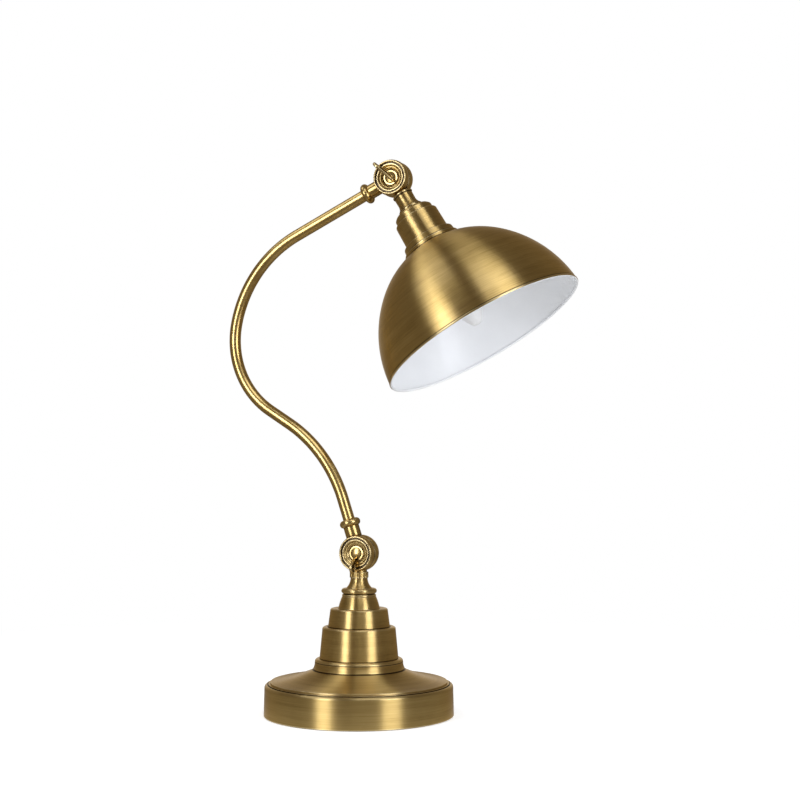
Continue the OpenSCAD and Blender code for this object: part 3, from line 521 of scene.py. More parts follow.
def felt_cloth(name):
    """Pressed felt: matted fibres in every direction over a dark ground."""
    f = Finish(name)
    point = f.object_point()
    fibre = f.noise(point, (900.0, 260.0, 900.0), 5.0, 0.7)
    cross = f.noise(point, (260.0, 900.0, 900.0), 5.0, 0.7)
    mat = f.math("MAXIMUM", fibre, cross)
    colour = f.ramp(mat, [(0.4, (0.012, 0.012, 0.013)), (0.75, (0.06, 0.058, 0.056))])
    return f.finish(colour, 0.95, f.bump(mat, 0.0004), Sheen_Weight=0.4, Sheen_Roughness=0.5)


def opal_glass(name):
    """Opal bulb glass: milky, faintly warm and cloudy, with a smooth outer skin."""
    f = Finish(name)
    cloud = f.noise(f.object_point(), 60.0, 3.0, 0.5)
    colour = f.ramp(cloud, [(0.3, (0.73, 0.73, 0.72)), (0.7, (0.78, 0.78, 0.77))])
    return f.finish(colour, f.weighted((cloud, 0.1), plus=0.22), f.bump(cloud, 0.00002), IOR=1.5)


# the drum's, dish's and cup's copies are darkened by their dark share: painted shade on the same
# brass
DRUM_BRASS = brushed_brass("brass_drum", (1.6, 1.6, 1.8), rough=0.36, dark=0.16)
PEDESTAL_BRASS = brushed_brass("brass_pedestal", (2.0, 2.0, 2.6), rough=0.38)
DISH_BRASS = brushed_brass("brass_dish", (1.8, 1.8, 1.8), rough=0.40, dark=0.04, anisotropic=0.97)
DOME_BRASS = brushed_brass("brass_dome", (4.0, 4.0, 1.6), rough=0.35, anisotropic=0.96)
CUP_BRASS = brushed_brass("brass_cup", (2.4, 2.4, 2.8), rough=0.38, dark=0.04)
# the joints' copy paints shade in the gap between each joint's halves
JOINT_BRASS = brushed_brass("brass_joint", (2.2, 2.2, 2.6), 0.0000012, rough=0.30,
                            anisotropic=0.5, seam=1.3)
TUBE_BRASS = brushed_brass("brass_tube", (1.4, 1.4, 1.2), 0.000002, rough=0.28,
                           anisotropic=0.0)
CAST_BRASS = brushed_brass("brass_cast", (2.4, 2.4, 2.4), 0.0000015, rough=0.25,
                           mottle=0.000006, anisotropic=0.0)
ENAMEL = white_enamel("enamel_white")
IRON = sand_cast("iron_cast")
FELT = felt_cloth("felt_black")
RUBBER = moulded("rubber_black", (0.012, 0.012, 0.012), (0.03, 0.03, 0.03), 0.5)
FIBRE = moulded("fibre_dark", (0.02, 0.012, 0.008), (0.05, 0.03, 0.02), 0.6, 300.0)
BLACK = moulded("glass_black", (0.01, 0.01, 0.012), (0.02, 0.02, 0.022), 0.15)
PLASTIC = moulded("plastic_white", (0.74, 0.74, 0.72), (0.80, 0.80, 0.785), 0.25, 500.0,
                  0.00002, Coat_Weight=0.2)
STEEL = plated("steel_zinc", (0.48, 0.48, 0.50), (0.66, 0.66, 0.67), 0.28)
CAP_STEEL = plated("steel_cap", (0.60, 0.59, 0.56), (0.76, 0.75, 0.72), 0.2)
CONTACT = plated("brass_contact", (0.50, 0.36, 0.15), (0.68, 0.50, 0.24), 0.24)
OPAL = opal_glass("glass_opal")

# CAD nodes that stay, and the finish of each
KEPT = {
    "felt_pad": FELT, "base_weight": IRON, "cord_grommet": RUBBER, "rod_washer": STEEL,
    "rod_nut": STEEL, "threaded_rod": STEEL, "lower_friction_ring": FIBRE,
    "upper_friction_ring": FIBRE, "holder_nipple": STEEL, "lamp_holder": PLASTIC,
    "holder_shell": CONTACT, "holder_contact": CONTACT, "bulb_cap": CAP_STEEL,
    "bulb_contact": BLACK,
}
for node_name, kept_finish in KEPT.items():
    kept_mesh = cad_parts[node_name].data
    kept_mesh.materials.clear()
    kept_mesh.materials.append(kept_finish)


# ---- base and pedestal ----

ROD_HOLE = 5.05


def stack(name, profile, height, nodes, material, around=128, ripple=None, shaded_places=()):
    """Turned piece of the base or pedestal, standing at a height on the upright axis."""
    part = turned(profile, height * UP, UP, around, ripple, shaded_places)
    add_piece(name, part, "base", nodes, material)


drum = chain(
    rounded([(78.8, 0.6), (80.0, 0.6, 0.25), (79.42, 24.0)], 1.0),
    arc(77.0, 24.0, 2.4, 0, 90, 0.35),
    rounded([(77.0, 26.4), (77.0, 25.9, 0.1), (76.1, 25.9, 0.1), (76.1, 27.2, 0.25),
             (68.1, 27.2, 0.15), (68.1, 25.2)], 0.8),
    rounded([(68.1, 25.2), (77.0, 25.2, 0.1), (78.2, 24.0, 0.6), (78.8, 0.6)], 1.5)[1:])
# the lip's face and groove under the dish's edge are painted dark as shade
stack("drum_turned", drum, 0.0, ["drum_shell"], DRUM_BRASS, 288,
      shaded_places=[(75.9, 77.05, 25.8, 27.0)])

# dished cover: upper and lower arcs about one centre above the base
DISH_R, DISH_SHEET, DISH_SEAT = 107.0, 1.4, 27.2
DISH_EDGE, DISH_HUB = np.array([74.5, 28.6]), np.array([38.5, 38.5])
chord = DISH_HUB - DISH_EDGE
half_chord = np.linalg.norm(chord) / 2
off = math.sqrt(DISH_R ** 2 - half_chord ** 2) / (2 * half_chord)
dish_centre = (DISH_EDGE + DISH_HUB) / 2 + off * np.array([chord[1], -chord[0]])


def dish_arc(radius, from_r, to_r):
    """Part of a circle about the dish's centre between two radii of the piece."""
    r = np.linspace(from_r, to_r, 34)
    return np.stack([r, dish_centre[1] - np.sqrt(radius ** 2 - (dish_centre[0] - r) ** 2)], 1)


dish = chain([(74.35, 27.25), (74.5, 27.45), (74.5, 28.4)], dish_arc(DISH_R, 74.3, 38.5),
             rounded([(38.5, 38.5), (ROD_HOLE, 38.5), (ROD_HOLE, 37.1), (38.5, 37.1)], 2.0)[1:],
             dish_arc(DISH_R + DISH_SHEET, 38.5, 74.0)[1:])
dish = dish[dish[:, 1] > DISH_SEAT]           # the lower arc ends on the drum's seat
# the hub's edge under the foot is painted dark as shade
stack("dish_spun", dish, 0.0, ["dish_cover"], DISH_BRASS, 256,
      shaded_places=[(38.4, 39.4, 38.0, 38.6)])

# the pedestal's pieces stand one on another from the top of the dish
FOOT_H, LOWER_H, MIDDLE_H, BELL_H, BEAD_H, FLARE_H = 9.0, 26.5, 15.4, 10.2, 6.7, 8.8
FOOT_AT = DISH_HUB[1]
LOWER_AT = FOOT_AT + FOOT_H
MIDDLE_AT = LOWER_AT + LOWER_H
BELL_AT = MIDDLE_AT + MIDDLE_H
BEAD_AT = BELL_AT + BELL_H
FLARE_AT = BEAD_AT + BEAD_H
COLLAR_AT = FLARE_AT + FLARE_H

cove_h = np.linspace(1.3, 6.2, 14)
cove_r = 46.3 - np.sqrt(9.0 ** 2 - (cove_h - 5.58) ** 2)
foot = chain(
    [(28.5, 0.0), (38.35, 0.0), (38.5, 0.15), (38.5, 0.9)], np.stack([cove_r, cove_h], 1),
    [(36.95, 6.3), (36.95, 6.65), (37.25, 6.75)],
    arc(35.0, 6.8, 2.2, 0, 90, 0.3), [(28.5, FOOT_H)])
# the step at the top of the cove and the bottom edge are painted dark as shade
stack("foot_turned", divided(foot, 0.8), FOOT_AT, ["foot_ring"], PEDESTAL_BRASS, 176,
      shaded_places=[(36.9, 37.1, 6.25, 6.7), (38.2, 38.6, 0.0, 0.4)])


def tier(bottom_r, top_r, h, edge, wall=2.4):
    """Tapered hollow storey with a rounded top edge and a plate at the top."""
    inner_top = top_r - wall
    return rounded([(bottom_r - wall, 0), (bottom_r, 0, 0.12), (top_r, h, edge), (ROD_HOLE, h),
                    (ROD_HOLE, h - wall), (inner_top, h - wall), (bottom_r - wall, 0)], 0.7)[:-1]


# each tier's bottom edge and the ring under the next storey's edge are painted dark as shade
stack("lower_tier_turned", tier(33.3, 30.8, LOWER_H, 1.6), LOWER_AT, ["lower_tier"],
      PEDESTAL_BRASS, 160, shaded_places=[(33.0, 33.4, -0.1, 0.4), (25.9, 26.7, 26.4, 26.6)])
stack("middle_tier_turned", tier(26.2, 24.1, MIDDLE_H, 1.4), MIDDLE_AT, ["middle_tier"],
      PEDESTAL_BRASS, 144, shaded_places=[(25.9, 26.3, -0.1, 0.4), (17.2, 18.0, 15.3, 15.5)])

# the bell narrows evenly by 3.2 and bows out by 0.3 halfway up
bow_h = np.linspace(0.15, 10.05, 22)
risen = bow_h / BELL_H
bow_r = 17.5 - 3.2 * risen + 0.3 * 4 * risen * (1 - risen)
bell = chain([(ROD_HOLE, 0.0), (17.35, 0.0)], np.stack([bow_r, bow_h], 1),
             [(14.15, BELL_H), (ROD_HOLE, BELL_H)])
stack("bell_turned", divided(bell, 0.8), BELL_AT, ["bell"], PEDESTAL_BRASS, 112)

bead = chain([(ROD_HOLE, 0.0), (13.55, 0.0)], arc(13.55, 0.9, 0.9, -80, 85, 0.2),
             [(13.45, 1.85), (13.3, 2.05), (13.35, 2.3)], arc(12.8, 4.5, 2.2, -74, 90, 0.25),
             [(12.5, BEAD_H), (ROD_HOLE, BEAD_H)])
stack("bead_turned", divided(bead, 0.8), BEAD_AT, ["bead_ring"], PEDESTAL_BRASS, 112)

flare_h = np.linspace(0.1, 8.7, 26)
flare_r = 18.88 - np.sqrt(11.68 ** 2 - (FLARE_H - flare_h) ** 2)
flare = chain([(ROD_HOLE, 0.0), (11.0, 0.0)], np.stack([flare_r, flare_h], 1),
              [(7.1, FLARE_H), (ROD_HOLE, FLARE_H)])
stack("neck_turned", divided(flare, 0.7), FLARE_AT, ["flared_neck"], PEDESTAL_BRASS, 96)

COLLAR_R, COLLAR_BORE, COLLAR_H, COLLAR_GROOVES = 7.9, 6.75, 5.0, 22


def knurl(r, h, a):
    """Upright grooves: a cosine of the angle, sharpened, cut into the outer face only and
    running out short of its two edges."""
    cut = np.clip(np.cos(a * COLLAR_GROOVES) - 0.45, 0, 1) * 0.55
    outside = np.clip((r - COLLAR_R + 0.5) / 0.4, 0, 1)
    between = np.clip((COLLAR_H / 2 - 0.3 - np.abs(h - COLLAR_H / 2)) / 0.4, 0, 1)
    return r - cut * outside * between


collar = rounded([(COLLAR_BORE, 0), (COLLAR_R, 0, 0.45), (COLLAR_R, COLLAR_H, 0.45),
                  (COLLAR_BORE, COLLAR_H), (COLLAR_BORE, 0)], 0.35)[:-1]
stack("collar_knurled", collar, COLLAR_AT, ["knurled_collar"], JOINT_BRASS,
      12 * COLLAR_GROOVES, knurl)


# ---- swivel joints ----

FACE, GAP, DISC_R = 9.5, 0.5, 15.3            # a half disc's outer and inner face, and radius
SIDE_CURVE = 10.0
SIDE_MID = (FACE + GAP) / 2
RIM_C = 0.7                                   # rounding between side and face
FACE_R = DISC_R - SIDE_CURVE + math.sqrt(SIDE_CURVE ** 2 - (FACE - RIM_C - SIDE_MID) ** 2)
GROOVE_R = FACE_R - 1.4
RING_R = GROOVE_R - 1.5
GROOVE_FLOOR = FACE - 2.0
# the face's deep groove is painted dark, as shade in the groove
GROOVE_SHADE = (RING_R - 0.3, GROOVE_R + 0.1, GROOVE_FLOOR - 0.1, FACE - 1.0)
SEAT_R = 7.1
SUNK_SEAT, NUT_SEAT = 5.2, FACE - 1.0         # where the key's hub and the nut sit
SCREW_HOLE = 2.45
RING_W = RING_R - SEAT_R
RINGS_FROM, RINGS_RISE, RINGS_SWELL = 6.6, 1.9, 0.40
DISC_AROUND, STEM_AROUND = 144, 96
STEM_ROOT, CLEAR_R = 9.0, 15.7                # a stem starts in its own disc, past the other's


def dished_face():
    """Face of a front half, from its bore to its deep groove: the seat of the sunk hub and
    two swelled rings that climb towards the rim, each half an ellipse over a slope."""
    t = np.linspace(0, 1, 41)
    lobe = np.sqrt(np.maximum(1 - (2 * ((2 * t) % 1.0) - 1) ** 2, 0))
    rings = np.stack([SEAT_R + RING_W * t, RINGS_FROM + RINGS_RISE * t + RINGS_SWELL * lobe], 1)
    return chain([(SCREW_HOLE, GAP), (SCREW_HOLE, SUNK_SEAT), (SEAT_R - 0.1, SUNK_SEAT)], rings)


def flat_face():
    """Face of a back half, from its bore to its deep groove: the nut's seat and a broad
    ring, a quarter circle in section, with a fine line cut into it."""
    swell = RING_W * 0.7
    ring = arc(SEAT_R + RING_W / 2, FACE - 0.1 - swell, swell, 135, 45, 0.12)
    from_line = np.abs(ring[:, 0] - (SEAT_R + RING_W * 0.36))
    ring[:, 1] -= np.clip(0.42 - from_line, 0, 1) * 0.9
    return chain([(SCREW_HOLE, GAP), (SCREW_HOLE, NUT_SEAT), (SEAT_R - 0.1, NUT_SEAT)], ring)


def disc_profile(face):
    """Half disc, from its bore over the face and round the convex side: deep groove,
    rounded rim, side, flat inner face."""
    side = arc(DISC_R - SIDE_CURVE, SIDE_MID, SIDE_CURVE,
               math.degrees(math.asin((FACE - RIM_C - SIDE_MID) / SIDE_CURVE)),
               -math.degrees(math.asin((SIDE_MID - GAP - 0.3) / SIDE_CURVE)), 0.5)
    return divided(chain(
        face,
        rounded([(RING_R, face[-1, 1]), (RING_R, GROOVE_FLOOR, 0.2),
                 (GROOVE_R, GROOVE_FLOOR, 0.2), (GROOVE_R, FACE - RIM_C)], 0.3),
        arc(FACE_R - RIM_C, FACE - RIM_C, RIM_C, 178, 8, 0.15), side,
        [(side[-1, 0] - 0.3, GAP)]), 0.6)


def stem(origin, axis, out, radius, length):
    """Stem of a half joint: a cylinder along the axis whose inner end is hollowed to clear
    the other half's disc, and starts inside its own half's disc. The ends are closed by
    rings that shrink to the axis."""
    across = np.cross(axis, out)
    a = round_angles(STEM_AROUND) + math.pi / STEM_AROUND
    x, y = radius * np.cos(a), radius * np.sin(a)
    start = np.where(y > GAP, STEM_ROOT, np.sqrt(CLEAR_R ** 2 - x ** 2))
    sides = start + (length - start) * np.linspace(0.02, 0.985, 22)
    caps = [np.full_like(start, at) for at in (11.0, length)]
    s = np.hstack([caps[0], start, start, sides, caps[1], caps[1]])
    share = np.array([POLE, 0.9] + [1.0] * 23 + [0.97, POLE])
    verts = (origin + s[..., None] * axis + (x * share)[..., None] * across
             + (y * share)[..., None] * out)
    quads, uvs = grid_faces(*s.shape, False)
    turn = turn_of(a, s)
    return verts.reshape(-1, 3), quads, uvs, turn.reshape(-1, 3), np.zeros(s.size)


def half_joint(name, joint, side, stem_axis, stem_r, stem_l, body, node):
    """One half of a swivel joint: its disc on the front (1) or back (-1), and its stem."""
    out = FRONT * side
    face = dished_face() if side > 0 else flat_face()
    parts = [turned(disc_profile(face), joint, out, DISC_AROUND, shaded_places=[GROOVE_SHADE]),
             stem(joint, stem_axis, out, stem_r, stem_l)]
    add_piece(name, parts, body, [node], JOINT_BRASS)


half_joint("lower_half_base", LOWER_JOINT, 1, -UP, 6.7, 20.7, "base", "lower_knuckle_base")
half_joint("lower_half_arm", LOWER_JOINT, -1, toward(ARM_DIR[0]), 6.7, 23.4, "arm",
           "lower_knuckle_arm")
half_joint("upper_half_arm", UPPER_JOINT, 1, ARM_END, 6.2, 22.8, "arm", "upper_knuckle_arm")
half_joint("upper_half_head", UPPER_JOINT, -1, SHADE_AXIS, 6.2, 22.1, "head",
           "upper_knuckle_head")

# a lever's points are (reach from the joint's axis, distance along it)
EYE, EYE_R, EYE_FROM = np.array([11.5, 15.1]), 4.9, 7.0
LEVER_HALF, LEVER_SPINE = 1.2, 10.6
# steps in from a lever's outline: inset, half thickness and edge measure. The last three
# lead down into the eye's panel, and outside the eye they keep the lever's thickness.
LEVER_RIM = [(0.0, 0.0, 0.3), (0.0, 0.6, 0.4), (0.25, 1.0, 0.5), (0.6, LEVER_HALF, 0.4),
             (1.05, 1.15, 0.1), (1.35, 0.72, -0.3), (1.7, 0.62, -0.2)]
PANEL_FROM = 1.0
# back edges from the eye down to the hub: the upper lever runs over its whole hub, the
# lower one ends in front of its hub's middle
LONG_BACK = [(2.64, 16.4, 5.0), (0.0, 15.6, 2.0), (-5.6, 12.7, 0.8), (-5.8, 10.4, 0.5),
             (-5.4, 6.2, 0.3)]
SHORT_BACK = [(6.2, 16.0, 2.0), (4.2, 12.0, 1.5), (3.6, 6.2, 0.3)]


def lever_part(joint, direction, back):
    """Lever of a thumb key: its outline lies in the plane of the reach and the joint's
    axis, a round eye and the edges down to the hub. Rings step in from the outline over
    a rounded rim to a sunk panel, on both sides, and close on a spine."""
    reach = toward(direction)
    thick = np.cross(reach, FRONT)
    a = np.radians(np.linspace(-90, 122, 40))
    eye = EYE + EYE_R * np.stack([np.cos(a), np.sin(a)], 1)
    ridge = rounded([tuple(eye[-1]), *back, (6.3, 6.2, 0.6), (10.5, 9.2, 1.0), tuple(eye[0])],
                    0.5)
    outline = chain(eye, ridge[1:-1])
    along = np.roll(outline, -1, 0) - np.roll(outline, 1, 0)
    normal = np.stack([-along[:, 1], along[:, 0]], 1)
    normal /= np.linalg.norm(normal, axis=1)[:, None]
    eye_part = np.clip((6.0 - np.linalg.norm(outline - EYE, axis=1)) / 0.8, 0, 1)
    spine = np.stack([outline[:, 0], np.full(len(outline), LEVER_SPINE)], 1)
    centre = np.where(outline[:, :1] > EYE_FROM, EYE, spine)
    rows, worn = [], []
    for inset, half, edge in LEVER_RIM:
        sunk = eye_part if inset > PANEL_FROM else np.ones(len(outline))
        rows.append((outline + normal * inset, half * sunk + LEVER_HALF * (1 - sunk)))
        worn.append(edge)
    inmost, depth = rows[-1]
    rows.append((centre + (inmost - centre) * 0.02, depth + 0.12 * eye_part))
    worn.append(0.0)
    both = [(p, -h) for p, h in rows[::-1]] + rows[1:]
    p = np.stack([b[0] for b in both], 1)
    h = np.stack([b[1] for b in both], 1)
    verts = joint + p[..., :1] * reach + p[..., 1:] * FRONT + h[..., None] * thick
    quads, uvs = grid_faces(*h.shape, False)
    turn = np.concatenate([p * 0.25, h[..., None]], -1)
    edges = np.tile(worn[::-1] + worn[1:], len(outline))
    return verts.reshape(-1, 3), quads, uvs, turn.reshape(-1, 3), edges


HUB_R, HUB_FOOT, HUB_STEP = 6.5, 5.3, 6.8
HUB_DOME_R, HUB_DOME_C = 16.10, -8.66         # radius and centre of the hub's shallow dome
SCREW_R, SCREW_END, SCREW_HEAD = 2.4, -10.3, 5.6


def thumb_key(name, joint, direction, body, node, back):
    """Thumb key: domed hub with a step and a fine ring, the lever, and the screw through
    the joint."""
    hub = chain([(SCREW_R, HUB_FOOT), (6.35, HUB_FOOT), (HUB_R, 5.45), (HUB_R, 6.2)],
                arc(5.9, 6.2, 0.6, 0, 90, 0.15), [(5.0, HUB_STEP), (4.9, HUB_STEP - 0.1)],
                arc(0, HUB_DOME_C, HUB_DOME_R, 72.2, 89.9, 0.4), [(POLE, HUB_FOOT)])
    screw = rounded([(POLE, SCREW_END), (SCREW_R, SCREW_END, 0.3), (SCREW_R, SCREW_HEAD),
                     (POLE, SCREW_HEAD)], 0.6)
    parts = [turned(divided(hub, 0.5), joint, FRONT), turned(screw, joint, FRONT, 48),
             lever_part(joint, direction, back)]
    add_piece(name, parts, body, [node], CAST_BRASS)


thumb_key("lower_thumb_key", LOWER_JOINT, -90, "lower_key", "lower_key", SHORT_BACK)
thumb_key("upper_thumb_key", UPPER_JOINT, 136, "upper_key", "upper_key", LONG_BACK)


def domed_nut(name, joint, body, node):
    """Domed nut on the far side of a joint, with a rounded foot."""
    nut = chain([(SCREW_HOLE, NUT_SEAT)],
                rounded([(2.6, NUT_SEAT), (5.6, NUT_SEAT, 0.2), (5.6, 10.9, 0.3), (5.0, 10.95)],
                        0.4),
                arc(0, 7.7, 5.6, 35, 89.9, 0.35), [(POLE, 10.7), (SCREW_HOLE, 10.7)])
    add_piece(name, turned(nut, joint, -FRONT), body, [node], JOINT_BRASS)


domed_nut("lower_domed_nut", LOWER_JOINT, "arm", "lower_cap_nut")
domed_nut("upper_domed_nut", UPPER_JOINT, "head", "upper_cap_nut")


def bead_ferrule(name, joint, axis, at, node):
    """Bead on the tube against the end of a stem: a half round with fine steps."""
    half_round = chain([(5.05, -3.2), (5.55, -3.2)], arc(5.7, 0, 3.2, -88, 88, 0.3),
                       [(5.55, 3.2), (5.05, 3.2)])
    part = turned(divided(half_round, 0.5), joint + at * axis, axis)
    add_piece(name, part, "arm", [node], JOINT_BRASS)


bead_ferrule("lower_bead", LOWER_JOINT, toward(ARM_DIR[0]), 26.6, "lower_ferrule")
bead_ferrule("upper_bead", UPPER_JOINT, ARM_END, 26.0, "upper_ferrule")

# the tube itself, from socket to socket
TUBE_R, LOWER_SOCKET, UPPER_SOCKET = 5.0, 17.4, 16.8
in_tube = (PATH_AT > LOWER_SOCKET) & (PATH_AT < PATH_AT[-1] - UPPER_SOCKET)
add_piece("arm_bent", swept(PATH[in_tube], PATH_DIR[in_tube], PATH_AT[in_tube], TUBE_R), "arm",
          ["arm_tube"], TUBE_BRASS)


# ---- shade holder and shade ----

def on_shade(name, profile, nodes, material, around=128, ripple=None,
             shaded_places=(), at=0.0):
    """Turned piece on the shade's axis, starting at a distance from the upper joint."""
    part = turned(profile, UPPER_JOINT + at * SHADE_AXIS, SHADE_AXIS, around, ripple, shaded_places)
    add_piece(name, part, "head", nodes, material)


# distances of the pieces from the upper joint, and the waist and flare of the neck
NECK_AT, NECK_L, SHOULDER_L, CUP_L = 16.1, 16.5, 7.6, 21.3
SHOULDER_AT = NECK_AT + NECK_L
CUP_AT = SHOULDER_AT + SHOULDER_L
GALLERY_AT = CUP_AT + CUP_L
WAIST_R, WAIST_END, FLARE_R = 8.1, 8.5, 8.02

flare_s = np.linspace(WAIST_END, 14.4, 16)
widening = WAIST_R + FLARE_R - np.sqrt(FLARE_R ** 2 - (flare_s - WAIST_END) ** 2)
neck = chain(
    [(6.3, 0.0), (8.3, 0.0)], arc(8.3, 0.7, 0.7, -85, 60, 0.15), [(8.25, 1.6), (WAIST_R, 7.5)],
    np.stack([widening, flare_s], 1), [(10.0, 14.5)], arc(10.0, 15.5, 1.0, -90, 90, 0.2),
    [(6.3, NECK_L)])
on_shade("neck_flared", divided(neck, 0.6), ["holder_neck"], CUP_BRASS, 112, at=NECK_AT)

shoulder = rounded([(6.0, 0), (11.0, 0, 0.1), (15.2, 1.4, 0.4), (17.0, 3.2, 1.4),
                    (17.0, SHOULDER_L), (15.9, SHOULDER_L), (15.9, 3.4), (14.5, 2.6), (11.0, 1.7),
                    (6.0, 1.7), (6.0, 0)], 0.5)[:-1]
# the shoulder's seams with the neck and the cup are painted dark as shade
on_shade("shoulder_spun", shoulder, ["cup_shoulder"], CUP_BRASS, at=SHOULDER_AT,
         shaded_places=[(10.6, 11.6, -0.1, 0.3), (16.8, 17.1, 7.2, 7.7)])

cup = rounded([(15.0, 0), (19.25, 0, 1.4), (19.75, CUP_L, 0.15), (18.65, CUP_L), (18.15, 1.6),
               (17.0, 1.1), (15.0, 1.1), (15.0, 0)], 0.6)[:-1]
# the cup's seams with the shoulder and the gallery are painted dark as shade
on_shade("cup_spun", cup, ["holder_cup"], CUP_BRASS, 144, at=CUP_AT,
         shaded_places=[(16.9, 17.6, -0.1, 0.2), (19.6, 19.8, 20.9, 21.4)])

# the dome's two circles: the crown's, and the side's, which is widest a little past the
# rim and runs smoothly out of the crown's
SHADE_R, SHADE_H, SHEET, RIM_ROLL = 89.0, 91.3, 0.8, 1.1
CROWN_AT, CROWN_R = GALLERY_AT + 5.4, 83.2
CROWN_C = CROWN_AT + CROWN_R
RIM_AT = CROWN_AT + SHADE_H
SIDE_WIDEST, SIDE_CS = SHADE_R - 0.2, RIM_AT + 5.2
side_reach = SIDE_CS - CROWN_C
SIDE_R = ((side_reach ** 2 + SIDE_WIDEST ** 2 - CROWN_R ** 2)
          / (2 * (SIDE_WIDEST - CROWN_R)))
SIDE_CR = SIDE_WIDEST - SIDE_R
MEET_S = CROWN_C - CROWN_R * math.cos(math.atan2(-SIDE_CR, side_reach))


def crown_s(r, inset=0.0):
    """Distance at which the crown, set in by an inset, has a radius."""
    return CROWN_C - np.sqrt((CROWN_R - inset) ** 2 - r ** 2)


# the gallery's flange is hollowed to the crown, with a fine gap
FLANGE_R, MOUTH_R, CROWN_GAP = 25.2, 14.5, 0.02
flange_end = crown_s(FLANGE_R) - CROWN_GAP
seat = np.linspace(FLANGE_R - 0.1, MOUTH_R, 14)
gallery = chain(
    rounded([(MOUTH_R, GALLERY_AT), (22.7, GALLERY_AT, 0.9), (23.5, GALLERY_AT + 5.7, 0.15),
             (FLANGE_R, GALLERY_AT + 5.75, 0.8), (FLANGE_R, flange_end)], 0.4),
    np.stack([seat, crown_s(seat) - CROWN_GAP], 1))
# the gallery's seams with the cup, its step and the flange's edge on the dome are painted dark as
# shade
on_shade("gallery_turned", gallery, ["shade_gallery"], CUP_BRASS, 160,
         shaded_places=[(19.6, 20.4, GALLERY_AT - 0.1, GALLERY_AT + 0.2),
                 (23.4, 23.9, GALLERY_AT + 5.4, GALLERY_AT + 5.9),
                 (FLANGE_R - 0.1, FLANGE_R + 0.1, flange_end - 0.4, flange_end + 0.1)])


def dome_curve(inset, rim_s):
    """Crown arc then side arc at an inset, from the crown's hole to near the rim, with
    points that lie closer towards the hole."""
    top_s = crown_s(MOUTH_R, inset)
    s = np.concatenate([np.linspace(0, 1, 26)[:-1] ** 1.6 * (MEET_S - top_s) + top_s,
                        np.linspace(MEET_S, rim_s, 95)])
    crown = np.sqrt(np.maximum((CROWN_R - inset) ** 2 - (CROWN_C - s) ** 2, 0))
    side = SIDE_CR + np.sqrt(np.maximum((SIDE_R - inset) ** 2 - (SIDE_CS - s) ** 2, 0))
    return np.stack([np.where(s < MEET_S, crown, side), s], 1)


# sheet outside, rolled rim, sheet inside. Brass covers the roll's outer part, which is
# rubbed bright and carries a painted highlight along the rim, and enamel the rest.
DOME_AROUND, BRASS_SHARE = 288, 0.36
outer = dome_curve(0.0, RIM_AT - 2.05)
inner = dome_curve(SHEET, RIM_AT - 2.2)
rim = arc(SHADE_R - RIM_ROLL, RIM_AT - RIM_ROLL, RIM_ROLL, -57, 262, 0.14)
dome = chain(outer, rim, inner[::-1])
dome_part = turned(dome, UPPER_JOINT, SHADE_AXIS, DOME_AROUND)
row = dome_part[1][:, 0] % len(dome)
brass_rows = len(outer) + int(len(rim) * BRASS_SHARE)
enamelled = (row >= brass_rows) & (row < len(dome) - 1)
# the roll's brass rows are marked rubbed, which paints the bright highlight along the rim
rim_glint_rows = np.zeros(len(dome), bool)
rim_glint_rows[len(outer) + 3:brass_rows + 2] = True
dome_part[4][np.tile(rim_glint_rows, DOME_AROUND)] = RIM_RUBBED_GLINT
add_piece("dome_spun", dome_part, "head", ["shade"], [DOME_BRASS, ENAMEL],
          enamelled.astype(int))

# threaded ring that clamps the shade, with a milled edge
CLAMP_R, CLAMP_BORE, CLAMP_NOTCHES = 21.0, 13.6, 30
clamp_end = crown_s(CLAMP_R) + 3.4
clamp_seat = np.linspace(CLAMP_BORE, CLAMP_R - 0.2, 8)


def milled(r, h, a):
    """Coarse notches round the ring's outer face."""
    return r - np.clip(np.cos(a * CLAMP_NOTCHES) - 0.2, 0, 1) * 0.5 * (r > CLAMP_R - 0.5)


clamp = chain(np.stack([clamp_seat, crown_s(clamp_seat, SHEET) + CROWN_GAP], 1),
              rounded([(CLAMP_R, clamp_end - 3.0), (CLAMP_R, clamp_end, 0.5),
                       (CLAMP_BORE, clamp_end)], 0.5))
on_shade("clamp_ring", clamp, ["shade_ring"], PLASTIC, 180, ripple=milled)

# candle bulb: lower and upper arcs and a rounded tip, with a neck into its cap
BULB_FOOT, BULB_L, BULB_R, TIP_R, CAP_L = 47.2, 100.0, 17.5, 6.5, 17.0
NECK_R, GLASS_WALL = 8.2, 0.8
foot_s = BULB_FOOT + CAP_L
wide_s = BULB_FOOT + 0.57 * BULB_L
low_r = ((wide_s - foot_s) ** 2 + (BULB_R - NECK_R) ** 2) / (2 * (BULB_R - NECK_R))
tip_c = BULB_FOOT + BULB_L - TIP_R
reach_s = tip_c - wide_s
up_r = (BULB_R ** 2 + reach_s ** 2 - TIP_R ** 2) / (2 * (BULB_R - TIP_R))


def bulb_curve(inset):
    """Outline of the glass from its foot to its tip, drawn in by an inset."""
    s1 = np.linspace(foot_s, wide_s, 26)
    r1 = BULB_R - low_r + np.sqrt((low_r - inset) ** 2 - (wide_s - s1) ** 2)
    a_end = math.asin(reach_s / (up_r - TIP_R))
    a2 = np.linspace(0, a_end, 36)[1:]
    a3 = np.linspace(a_end, math.pi / 2 - 1e-4, 14)[1:]
    return np.stack([
        np.concatenate([r1, BULB_R - up_r + (up_r - inset) * np.cos(a2),
                        (TIP_R - inset) * np.cos(a3)]),
        np.concatenate([s1, wide_s + (up_r - inset) * np.sin(a2),
                        tip_c + (TIP_R - inset) * np.sin(a3)])], 1)


on_shade("bulb_blown", chain(bulb_curve(0.0), bulb_curve(GLASS_WALL)[::-1]), ["bulb_glass"],
         OPAL, 96)


# ---- studio, in metres ----

